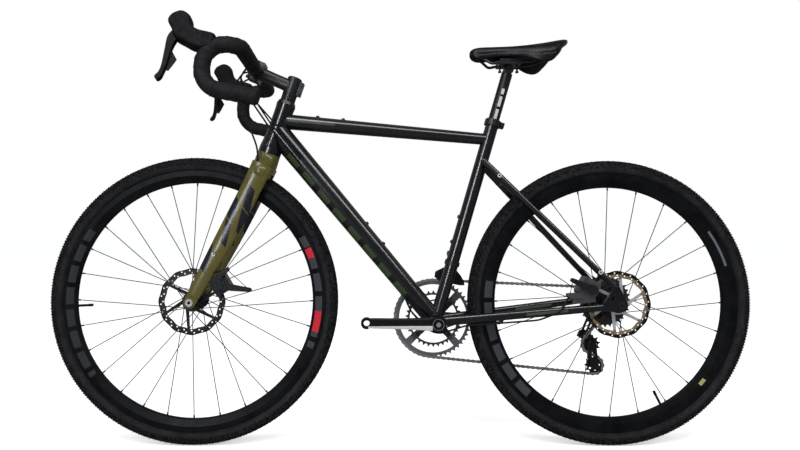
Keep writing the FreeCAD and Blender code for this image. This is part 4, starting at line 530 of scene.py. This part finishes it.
LOOKS = {
    "down_tube": down_tube_paint(), "top_tube": top_tube_paint(), "chainstays": stay_paint(),
    "seatstays": seatstay_paint(), "front_thru_axle": axle_finish(),
    "fork": fork_paint(), "seatpost": post_finish(), "crank_left": crank_finish(),
    "front_rim": FRONT_RIM, "rear_rim": REAR_RIM, "front_rotor": FRONT_ROTOR, "rear_rotor": REAR_ROTOR}
for look, names in (
        (FRAME_PAINT, ("head_tube", "seat_tube", "bottom_bracket_shell", "dropouts")),
        (BLACK, ("seat_clamp", "bottom_bracket_cups", "rear_thru_axle", "headset_spacers",
                 "stem", "stem_faceplate", "handlebar", "front_hub", "rear_hub", "saddle_clamp",
                 "front_derailleur_mount", "frame_bosses", "crank_right")),
        (SATIN, ("front_brake_caliper", "rd_mount_knuckle", "rd_links", "rd_cage_knuckle", "rd_cage",
                 "rd_guide_pulley", "rd_tension_pulley", "fd_link", "fd_cage", "front_brake_arm")),
        (DARK, ("rear_brake_arm",)),
        (CALIPER, ("rear_brake_caliper",)),
        (GREY, ("headset_bearings",)),
        (LEVER, ("brake_lever_left", "brake_lever_right", "shift_paddle_left", "shift_paddle_right")),
        (SPOKE, ("front_spokes", "rear_spokes", "saddle_rails")),
        (DRIVE, ("chain",)),
        (COGS, ("cassette",)),
        (OUTER_RING, ("outer_chainring",)),
        (INNER_RING, ("inner_chainring",)),
        (TYRE, ("front_tyre", "rear_tyre")),
        (HOUSING, ("front_brake_cable", "control_cables"))):
    for name in names:
        LOOKS[name] = look
LOOKS["bar_tape"] = tape_fabric()
LOOKS["lever_hoods"] = hood_rubber()
LOOKS["saddle"] = saddle_leather()
for name, part in NODES.items():
    part.data.materials.clear()
    part.data.materials.append(LOOKS[name])


# Modelling helpers

def add_object(name, mesh, look):
    piece = bpy.data.objects.new(name, mesh)
    SCENE.collection.objects.link(piece)
    mesh.materials.clear()
    mesh.materials.append(look)
    return piece


def mesh_from(bm, name):
    """A mesh of what bm holds; bm is freed."""
    mesh = bpy.data.meshes.new(name)
    bm.to_mesh(mesh)
    bm.free()
    return mesh


def shade_smooth(mesh):
    for face in mesh.polygons:
        face.use_smooth = True


def welded_copy(node):
    bm = bmesh.new()
    bm.from_mesh(NODES[node].data)
    bmesh.ops.remove_doubles(bm, verts=bm.verts, dist=1e-6)
    return bm


def remeshed(node, name, voxel, smooth, look):
    """A fine even skin over a soft solid's form."""
    piece = add_object(name, mesh_from(welded_copy(node), name), look)
    grid = piece.modifiers.new("grid", "REMESH")
    grid.mode = "VOXEL"
    grid.voxel_size = voxel
    even = piece.modifiers.new("even", "SMOOTH")
    even.iterations = smooth
    even.factor = 0.5
    graph = bpy.context.evaluated_depsgraph_get()
    fine = bpy.data.meshes.new_from_object(piece.evaluated_get(graph))
    piece.modifiers.clear()
    piece.data = fine
    fine.materials.clear()
    fine.materials.append(look)
    shade_smooth(fine)
    return piece


def push(mesh, amount):
    """Moves each vertex along its normal by amount(place, normal)."""
    moves = [amount(v.co.copy(), v.normal.copy()) for v in mesh.vertices]
    normals = [v.normal.copy() for v in mesh.vertices]
    for v, n, m in zip(mesh.vertices, normals, moves):
        v.co += n * m


# Bar tape, wound round the bar with a low lip on each turn

BAR_LINE = (
    (BAR_X, -0.050, BAR_Z), (BAR_X, -0.190, BAR_Z), (BAR_X, -0.222, BAR_Z),
    (-0.3980, -0.2237, 0.9150), (-0.4420, -0.226, 0.9170), (-0.4420, -0.233, 0.8680),
    (-0.4420, -0.240, 0.8190), (-0.3950, -0.2448, 0.8102), (-0.3200, -0.2524, 0.7963))
TAPE_PITCH = 0.0195
TAPE_RAISE = 0.0002
LIP_HEIGHT = 0.0011
LIP_SHARE = 0.93
TAPE_INSIDE = 0.0145

# Closing bands: distance from the middle plane and radius of each ring
BAND_ROWS = (
    (0.0535, 0.0121), (0.0540, 0.0141), (0.0560, 0.0163), (0.0590, 0.0180), (0.0660, 0.0184),
    (0.0700, 0.0182), (0.0706, 0.0172))
BAND_SIDES = 48


def smooth_line(points, name):
    data = bpy.data.curves.new(name, "CURVE")
    data.dimensions = "3D"
    spline = data.splines.new("NURBS")
    spline.points.add(len(points) - 1)
    for p, q in zip(spline.points, points):
        p.co = (*q, 1.0)
    spline.order_u = 3
    spline.use_endpoint_u = True
    spline.resolution_u = 24
    holder = bpy.data.objects.new(name, data)
    SCENE.collection.objects.link(holder)
    graph = bpy.context.evaluated_depsgraph_get()
    mesh = bpy.data.meshes.new_from_object(holder.evaluated_get(graph))
    out = [v.co.copy() for v in mesh.vertices]
    bpy.data.objects.remove(holder)
    bpy.data.meshes.remove(mesh)
    return out


def carried_frames(line):
    """Distance along the line, direction and a side vector carried along it without twist."""
    frames = []
    run = 0.0
    side = Vector((0.0, 0.0, 1.0))
    for i, p in enumerate(line):
        ahead = (line[min(i + 1, len(line) - 1)] - line[max(i - 1, 0)]).normalized()
        side = (side - ahead * side.dot(ahead)).normalized()
        if i:
            run += (p - line[i - 1]).length
        frames.append((run, ahead, side))
    return frames


def wound_tape():
    tape = remeshed("bar_tape", "bar_tape_wound", voxel=0.0017, smooth=4, look=LOOKS["bar_tape"])
    line = smooth_line(BAR_LINE, "bar_line")
    frames = carried_frames(line)
    tree = KDTree(len(line))
    for i, p in enumerate(line):
        tree.insert(p, i)
    tree.balance()

    def ridge(place, normal):
        p = Vector((place.x, -abs(place.y), place.z))
        i = tree.find(p)[1]
        run, ahead, side = frames[i]
        off = p - line[i]
        turn = math.atan2(off.dot(ahead.cross(side)), off.dot(side)) / (2.0 * math.pi)
        share = ((run + off.dot(ahead)) / TAPE_PITCH + turn) % 1.0
        if off.length < TAPE_INSIDE:
            return 0.0
        if share >= LIP_SHARE:
            share = (1.0 - share) / (1.0 - LIP_SHARE)
        return LIP_HEIGHT * share + TAPE_RAISE

    push(tape.data, ridge)
    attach(tape, "steering")
    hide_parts("bar_tape")


def tape_bands():
    """Short bands that close the tape beside the stem."""
    for side, tag in ((-1, "left"), (1, "right")):
        bm = bmesh.new()
        rows = []
        for y, r in BAND_ROWS:
            row = []
            for k in range(BAND_SIDES):
                a = 2.0 * math.pi * k / BAND_SIDES
                row.append(bm.verts.new((BAR_X + r * math.cos(a), side * y, BAR_Z + r * math.sin(a))))
            rows.append(row)
        for a, b in zip(rows, rows[1:]):
            for k in range(BAND_SIDES):
                after = (k + 1) % BAND_SIDES
                bm.faces.new((a[k], a[after], b[after], b[k]))
        bmesh.ops.recalc_face_normals(bm, faces=bm.faces)
        mesh = mesh_from(bm, "tape_band_" + tag)
        shade_smooth(mesh)
        band = add_object("tape_band_" + tag, mesh, HOUSING)
        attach(band, "steering")


# Lever hoods, ribbed on top and on the flanks

HOOD_RAISE = 0.0003
TOP_RIB = 0.0004
TOP_RIB_PITCH = 0.0055
FLANK_RIB = 0.00035
FLANK_RIB_PITCH = 0.0065


def rubber_hoods():
    hoods = remeshed("lever_hoods", "lever_hoods_rubber", voxel=0.0014, smooth=3, look=LOOKS["lever_hoods"])

    def ribs(place, normal):
        out = HOOD_RAISE
        along = place.x * 0.94 + place.z * 0.34
        slant = along * 0.6 + place.z
        if abs(normal.y) < 0.8 and normal.z > 0.15 and -0.475 < place.x < -0.425:
            out += TOP_RIB * max(0.0, math.sin(along * 2.0 * math.pi / TOP_RIB_PITCH))
        if abs(normal.y) > 0.6 and -0.495 < place.x < -0.430 and 0.905 < place.z < 0.972:
            out += FLANK_RIB * max(0.0, math.sin(slant * 2.0 * math.pi / FLANK_RIB_PITCH))
        return out

    push(hoods.data, ribs)
    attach(hoods, "steering")
    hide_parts("lever_hoods")


# Saddle cover, its seams and stitching

# x, half width, top and lower edge
SADDLE_ROWS = (
    (0.165, 0.005, 0.967, 0.961), (0.171, 0.015, 0.9735, 0.952), (0.188, 0.0205, 0.9775, 0.947),
    (0.222, 0.025, 0.9785, 0.951), (0.262, 0.036, 0.9785, 0.951), (0.298, 0.053, 0.9795, 0.941),
    (0.325, 0.064, 0.982, 0.931), (0.350, 0.068, 0.9855, 0.9315), (0.372, 0.066, 0.9895, 0.941),
    (0.388, 0.056, 0.993, 0.958), (0.399, 0.038, 0.9945, 0.974), (0.405, 0.018, 0.9925, 0.983))
COVER_RAISE = 0.0006
FLANK_SEAM = 0.36
FLANK_SEAM_DEEP = 0.0011
FLANK_SEAM_WIDE = 0.0012
TOP_SEAM = 0.60
TOP_SEAM_DEEP = 0.0008
TOP_SEAM_WIDE = 0.0014
TAIL_FROM = 0.345
TAIL_RUN = 0.030
TAIL_TOP = 0.990
TAIL_DROP = 0.020
TAIL_IN = 0.012
OVER_SADDLE = 1.05
STITCHES = 38
STITCH_FROM = 0.244
STITCH_PITCH = 0.0037
STITCH_LENGTH = 0.0024
STITCH_APART = 0.0022
STITCH_HALVES = (0.0014, 0.00035, 0.00035, 1.0)


def saddle_at(x):
    """Half width, top and lower edge of the saddle at x."""
    rows = SADDLE_ROWS
    for a, b in zip(rows, rows[1:]):
        if a[0] <= x <= b[0]:
            t = (x - a[0]) / (b[0] - a[0])
            return [p + (q - p) * t for p, q in zip(a[1:], b[1:])]
    return rows[0][1:] if x < rows[0][0] else rows[-1][1:]


def saddle_cover():
    """The saddle's skin, drawn in at the lower edge of its tail, with sunk seams."""
    saddle = remeshed("saddle", "saddle_cover", voxel=0.0020, smooth=6, look=LOOKS["saddle"])
    for vert in saddle.data.vertices:
        aft = min(max((vert.co.x - TAIL_FROM) / TAIL_RUN, 0.0), 1.0)
        below = min(max((TAIL_TOP - vert.co.z) / TAIL_DROP, 0.0), 1.0)
        vert.co.x -= TAIL_IN * aft * below

    def shape(place, normal):
        wide, top, low = saddle_at(place.x)
        out = COVER_RAISE
        share = (place.z - low) / max(top - low, 0.004)
        flank = abs(place.y) > 0.7 * wide
        if flank and 0.175 < place.x < 0.398:
            seam = abs(share - FLANK_SEAM) * (top - low)
            out -= FLANK_SEAM_DEEP * math.exp(-(seam / FLANK_SEAM_WIDE) ** 2)
        if normal.z > 0.4 and 0.24 < place.x < 0.385:
            seam = abs(abs(place.y) - TOP_SEAM * wide)
            out -= TOP_SEAM_DEEP * math.exp(-(seam / TOP_SEAM_WIDE) ** 2)
        return out

    push(saddle.data, shape)
    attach(saddle, "seat")
    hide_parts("saddle")
    return saddle


def stitch_row(saddle):
    """Two rows of stitches beside the top seam on each side."""
    graph = bpy.context.evaluated_depsgraph_get()
    tree = BVHTree.FromObject(saddle, graph)
    bm = bmesh.new()
    down = Vector((0.0, 0.0, -1.0))
    for side in (-1, 1):
        for shift in (-STITCH_APART, STITCH_APART):
            for k in range(STITCHES):
                ends = []
                for step in (0.0, STITCH_LENGTH):
                    x = STITCH_FROM + k * STITCH_PITCH + step
                    y = side * (TOP_SEAM * saddle_at(x)[0] + shift)
                    hit = tree.ray_cast(Vector((x, y, OVER_SADDLE)), down)[0]
                    if hit is not None:
                        ends.append(hit)
                if len(ends) == 2:
                    ahead = (ends[1] - ends[0]).normalized()
                    across = ahead.cross(down).normalized()
                    turn = Matrix((ahead, across, ahead.cross(across))).transposed().to_4x4()
                    place = Matrix.Translation((ends[0] + ends[1]) / 2) @ turn
                    place = place @ Matrix.Diagonal(STITCH_HALVES)
                    bmesh.ops.create_icosphere(bm, subdivisions=1, radius=1.0, matrix=place)
    mesh = mesh_from(bm, "saddle_stitches")
    thread = Finish("saddle_thread", (0.020, 0.020, 0.021), 0.7)
    thread.vary(0.4, 300.0)
    thread.polish(500.0, 0.6, 0.8)
    thread.grain(thread.noise(3000.0), 0.3, 0.0002)
    piece = add_object("saddle_stitches", mesh, thread.done())
    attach(piece, "seat")


# Tyre tread: rows of small knobs from beside the middle to the shoulders

# Distance from the middle plane and radius, from the shoulder to the middle
TYRE_OUTLINE = (
    (0.0200, 0.3315), (0.0190, 0.3375), (0.0155, 0.3430),
    (0.0100, 0.3472), (0.0050, 0.3488), (0.0, 0.3490))
# Distance from the middle plane, length, half width, height and phase of each row
TREAD_ROWS = (
    (0.0062, 0.0030, 0.0019, 0.0006, 0.0), (0.0107, 0.0034, 0.0019, 0.0010, 0.5),
    (0.0148, 0.0034, 0.0018, 0.0013, 0.0), (0.0176, 0.0036, 0.0015, 0.0013, 0.5),
    (0.0192, 0.0030, 0.0011, 0.0009, 0.0))
KNOBS = 156
KNOB_SUNK = 0.0003
KNOB_TOP_LENGTH = 0.36
KNOB_TOP_WIDTH = 0.72
SLOPE_STEP = 0.0012
SHOULDER_Y = 0.01995


def tyre_radius(y):
    for (ya, ra), (yb, rb) in zip(TYRE_OUTLINE, TYRE_OUTLINE[1:]):
        if yb <= y <= ya:
            t = (y - ya) / (yb - ya)
            return ra + (rb - ra) * t
    return TYRE_OUTLINE[-1][1]


def tread(x, name, body):
    bm = bmesh.new()
    axle = Vector((x, 0.0, AXLE_Z))
    for y, length, half, high, phase in TREAD_ROWS:
        inner = tyre_radius(y - SLOPE_STEP)
        outer = tyre_radius(min(y + SLOPE_STEP, SHOULDER_Y))
        slope = (inner - outer) / (2.0 * SLOPE_STEP)
        for side in (-1, 1):
            out = Vector((0.0, side * slope, 1.0)).normalized()
            across = Vector((0.0, side * out.z, -out.y)).normalized()
            ahead = Vector((length, 0.0, 0.0))
            base = Vector((0.0, side * y, tyre_radius(y))) - out * KNOB_SUNK
            shift = phase + (0.25 if side > 0 else 0.0)
            for k in range(KNOBS):
                spin = Matrix.Rotation(2.0 * math.pi * (k + shift) / KNOBS, 3, "Y")
                low = []
                top = []
                for sx, sy in ((-1, -1), (1, -1), (1, 1), (-1, 1)):
                    p = base + ahead * (sx / 2) + across * (sy * half)
                    q = base + ahead * (sx * KNOB_TOP_LENGTH) + across * (sy * half * KNOB_TOP_WIDTH)
                    low.append(bm.verts.new(spin @ p + axle))
                    top.append(bm.verts.new(spin @ (q + out * high) + axle))
                bm.faces.new(top)
                for i in range(4):
                    j = (i + 1) % 4
                    bm.faces.new((low[i], low[j], top[j], top[i]))
    bmesh.ops.recalc_face_normals(bm, faces=bm.faces)
    piece = add_object(name, mesh_from(bm, name), TYRE)
    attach(piece, body)


# Chain: waisted plates on pins and rollers, in the place of each link

LINK_PITCH = 0.0127
WIDE_LINK = 0.0045
PLATE_WAIST = 0.0026
PLATE_ARC = 230.0
PLATE_STEPS = 8
OUTER_PLATE_RADIUS = 0.0040
INNER_PLATE_RADIUS = 0.0041
PIN_RADIUS = 0.0017
PIN_HALF = 0.0030
ROLLER_RADIUS = 0.0038
ROLLER_HALF = 0.00112
PLATE_OUT = ((-0.0026, -0.00195), (0.00195, 0.0026))
PLATE_IN = ((-0.0018, -0.00115), (0.00115, 0.0018))


def link_places():
    """Middle and turn of each link of the chain, and whether it is an outer link."""
    bm = welded_copy("chain")
    left = set(bm.verts)
    places = []
    while left:
        island = []
        edge = [left.pop()]
        while edge:
            v = edge.pop()
            island.append(v.co.copy())
            for e in v.link_edges:
                w = e.other_vert(v)
                if w in left:
                    left.remove(w)
                    edge.append(w)
        low = Vector([min(p[i] for p in island) for i in range(3)])
        high = Vector([max(p[i] for p in island) for i in range(3)])
        middle = (low + high) / 2
        spread = [p - middle for p in island]
        xx = sum(p.x * p.x for p in spread)
        zz = sum(p.z * p.z for p in spread)
        xz = sum(p.x * p.z for p in spread)
        turn = 0.5 * math.atan2(2.0 * xz, xx - zz)
        places.append((middle, turn, high.y - low.y > WIDE_LINK))
    bm.free()
    return places


def plate_outline(radius, waist):
    half = LINK_PITCH / 2
    points = []
    for end, start, dip in ((half, 0.0, waist), (-half, 180.0, -waist)):
        for k in range(PLATE_STEPS + 1):
            a = math.radians(start - PLATE_ARC / 2 + PLATE_ARC * k / PLATE_STEPS)
            points.append((end + radius * math.cos(a), radius * math.sin(a)))
        points.append((0.0, dip))
    return points


def slab_between(bm, outline, y0, y1, place):
    near = [bm.verts.new(place @ Vector((x, y0, z))) for x, z in outline]
    far = [bm.verts.new(place @ Vector((x, y1, z))) for x, z in outline]
    count = len(outline)
    bm.faces.new(near)
    bm.faces.new(far[::-1])
    for i in range(count):
        j = (i + 1) % count
        bm.faces.new((near[j], near[i], far[i], far[j]))


def round_outline(x, radius, count):
    return [(x + radius * math.cos(2 * math.pi * k / count), radius * math.sin(2 * math.pi * k / count))
            for k in range(count)]


def chain_links():
    bm = bmesh.new()
    for middle, turn, outer in link_places():
        place = Matrix.Translation(middle) @ Matrix.Rotation(-turn, 4, "Y")
        for y0, y1 in PLATE_OUT if outer else PLATE_IN:
            radius = OUTER_PLATE_RADIUS if outer else INNER_PLATE_RADIUS
            slab_between(bm, plate_outline(radius, PLATE_WAIST), y0, y1, place)
        for x in (-LINK_PITCH / 2, LINK_PITCH / 2):
            if outer:
                slab_between(bm, round_outline(x, PIN_RADIUS, 12), -PIN_HALF, PIN_HALF, place)
            else:
                slab_between(bm, round_outline(x, ROLLER_RADIUS, 16), -ROLLER_HALF, ROLLER_HALF, place)
    bmesh.ops.recalc_face_normals(bm, faces=bm.faces)
    piece = add_object("chain_links", mesh_from(bm, "chain_links"), DRIVE)
    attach(piece, "frame")
    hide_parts("chain")


# Control cables: the loops at the bar, parted from the runs, which stay with the frame

LOOP_TOP = Vector((-0.395, 0.0, 0.895))
LOOP_FALL = Vector((0.54, 0.0, -0.843)).normalized()
LOOP_CUTS = 46
LOOP_CUT_FROM = -0.03
LOOP_CUT_STEP = 0.005
PART_X = -0.262


def cut(bm, place, normal):
    geometry = list(bm.verts) + list(bm.edges) + list(bm.faces)
    bmesh.ops.bisect_plane(bm, geom=geometry, plane_co=place, plane_no=normal)


def cable_loops():
    """Cuts the loops across in even steps, then parts them from the runs at the frame."""
    bm = welded_copy("control_cables")
    for k in range(LOOP_CUTS):
        cut(bm, LOOP_TOP + LOOP_FALL * (LOOP_CUT_FROM + LOOP_CUT_STEP * k), LOOP_FALL)
    cut(bm, (PART_X, 0.0, 0.0), (1.0, 0.0, 0.0))
    made = []
    for name, rear in (("cable_loops_bar", False), ("cable_runs_frame", True)):
        part = bm.copy()
        away = [f for f in part.faces if (f.calc_center_median().x > PART_X) != rear]
        bmesh.ops.delete(part, geom=away, context="FACES")
        mesh = mesh_from(part, name)
        shade_smooth(mesh)
        made.append(add_object(name, mesh, HOUSING))
    bm.free()
    loops, runs = made
    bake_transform(loops)
    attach(runs, "frame")
    for piece in made:
        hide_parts("control_cables")


wound_tape()
tape_bands()
rubber_hoods()
SADDLE = saddle_cover()
stitch_row(SADDLE)
tread(FRONT_X, "front_tread", "front_wheel")
tread(REAR_X, "rear_tread", "rear_wheel")
chain_links()
cable_loops()


# Stage: pale floor, white room, soft studio light

FLOOR_HALF = 30.0
FLOOR_GLOW = 0.45
FLOOR_MIRRORED = 0.85
AMBIENT = 0.4
ROOM_NEAR = 0.12
ROOM_NEAR_Y = -0.5
ROOM_FAR = 0.3
ROOM_FAR_Y = 0.6
LIGHT_TINT = (0.92, 0.95, 1.0)


def floor():
    """White to the camera; darker in mirror looks, so that gloss paint stays dark below."""
    bm = bmesh.new()
    corners = ((-1, -1), (1, -1), (1, 1), (-1, 1))
    bm.faces.new([bm.verts.new((sx * FLOOR_HALF, sy * FLOOR_HALF, 0.0)) for sx, sy in corners])
    mesh = mesh_from(bm, "floor")
    pale = Finish("floor_pale", (0.97, 0.97, 0.97), 0.9, specular=0.0)
    pale.polish(3.0, 0.85, 0.95)
    path = pale.add("ShaderNodeLightPath")
    pale.paint(pale.calc("MULTIPLY", path.outputs["Is Glossy Ray"], FLOOR_MIRRORED), (0.0, 0.0, 0.0))
    pale.bsdf.inputs["Emission Color"].default_value = (1.0, 1.0, 1.0, 1.0)
    glow = pale.calc("MULTIPLY", path.outputs["Is Camera Ray"], FLOOR_GLOW)
    pale.put(glow, pale.bsdf.inputs["Emission Strength"])
    plane = add_object("floor", mesh, pale.done())


def studio_world():
    """White to the camera and through glass, dimmer in mirror looks, dimmest on the photo's side."""
    world = bpy.data.worlds.new("studio")
    SCENE.world = world
    world.use_nodes = True
    tree = world.node_tree
    tree.nodes.clear()

    def larger(a, b):
        node = tree.nodes.new("ShaderNodeMath")
        node.operation = "MAXIMUM"
        tree.links.new(a, node.inputs[0])
        tree.links.new(b, node.inputs[1])
        return node.outputs[0]

    path = tree.nodes.new("ShaderNodeLightPath")
    direct = larger(path.outputs["Is Camera Ray"], path.outputs["Is Transmission Ray"])
    way = tree.nodes.new("ShaderNodeTexCoord")
    split = tree.nodes.new("ShaderNodeSeparateXYZ")
    tree.links.new(way.outputs["Generated"], split.inputs[0])
    room = tree.nodes.new("ShaderNodeMapRange")
    room.interpolation_type = "SMOOTHSTEP"
    room.inputs["From Min"].default_value = ROOM_NEAR_Y
    room.inputs["From Max"].default_value = ROOM_FAR_Y
    room.inputs["To Min"].default_value = ROOM_NEAR
    room.inputs["To Max"].default_value = ROOM_FAR
    tree.links.new(split.outputs["Y"], room.inputs["Value"])
    lit = tree.nodes.new("ShaderNodeBackground")
    lit.inputs["Color"].default_value = (0.96, 0.98, 1.0, 1.0)
    lit.inputs["Strength"].default_value = AMBIENT
    shown = tree.nodes.new("ShaderNodeBackground")
    shown.inputs["Color"].default_value = (1.0, 1.0, 1.0, 1.0)
    tree.links.new(larger(direct, room.outputs[0]), shown.inputs["Strength"])
    mixed = tree.nodes.new("ShaderNodeMixShader")
    tree.links.new(larger(direct, path.outputs["Is Glossy Ray"]), mixed.inputs[0])
    tree.links.new(lit.outputs[0], mixed.inputs[1])
    tree.links.new(shown.outputs[0], mixed.inputs[2])
    out = tree.nodes.new("ShaderNodeOutputWorld")
    tree.links.new(mixed.outputs[0], out.inputs[0])


def lamp(name, kind, place, aim, energy):
    data = bpy.data.lights.new(name, kind)
    data.energy = energy
    holder = bpy.data.objects.new(name, data)
    SCENE.collection.objects.link(holder)
    holder.location = place
    way = Vector(aim) - Vector(place)
    holder.rotation_euler = way.to_track_quat("-Z", "Y").to_euler()
    return data


def softbox(name, place, aim, energy, wide, high):
    data = lamp(name, "AREA", place, aim, energy)
    data.shape = "RECTANGLE"
    data.size = wide
    data.size_y = high
    data.color = LIGHT_TINT


floor()
studio_world()
key = lamp("key_sun", "SUN", place=(-1.0, -2.2, 3.4), aim=(0.0, 0.0, 0.4), energy=0.7)
key.angle = math.radians(30.0)
softbox("top_strip", place=(0.5, -1.7, 2.5), aim=(0.5, 0.0, 0.5), energy=60.0, wide=5.4, high=0.45)
softbox("side_strip", place=(-1.2, -2.6, 1.4), aim=(0.0, 0.0, 1.4), energy=32.0, wide=0.30, high=1.6)


# Camera, fitted to the wheels in the photo

CAMERA_PLACE = (-0.11103, -1.5287, 0.52208)
CAMERA_YAW = 0.81
CAMERA_PITCH = 1.95
CAMERA_ROLL = 0.33
CAMERA_LENS = 27.83
CAMERA_SHIFT = (0.0411, -0.0197)


def camera():
    yaw = math.radians(CAMERA_YAW)
    pitch = math.radians(CAMERA_PITCH)
    roll = math.radians(CAMERA_ROLL)
    ahead = Vector((math.sin(yaw) * math.cos(pitch), math.cos(yaw) * math.cos(pitch), math.sin(pitch)))
    right = Vector((math.cos(yaw), -math.sin(yaw), 0.0))
    up = right.cross(ahead)
    right_rolled = right * math.cos(roll) + up * math.sin(roll)
    up_rolled = up * math.cos(roll) - right * math.sin(roll)
    data = bpy.data.cameras.new("photo_camera")
    data.sensor_width = 36.0
    data.sensor_fit = "HORIZONTAL"
    data.lens = CAMERA_LENS
    data.shift_x, data.shift_y = CAMERA_SHIFT
    data.clip_start = 0.05
    data.clip_end = 200.0
    holder = bpy.data.objects.new("photo_camera", data)
    SCENE.collection.objects.link(holder)
    turn = Matrix((right_rolled, up_rolled, -ahead)).transposed().to_4x4()
    holder.matrix_world = Matrix.Translation(CAMERA_PLACE) @ turn
    SCENE.camera = holder


camera()
SCENE.view_settings.view_transform = "Standard"
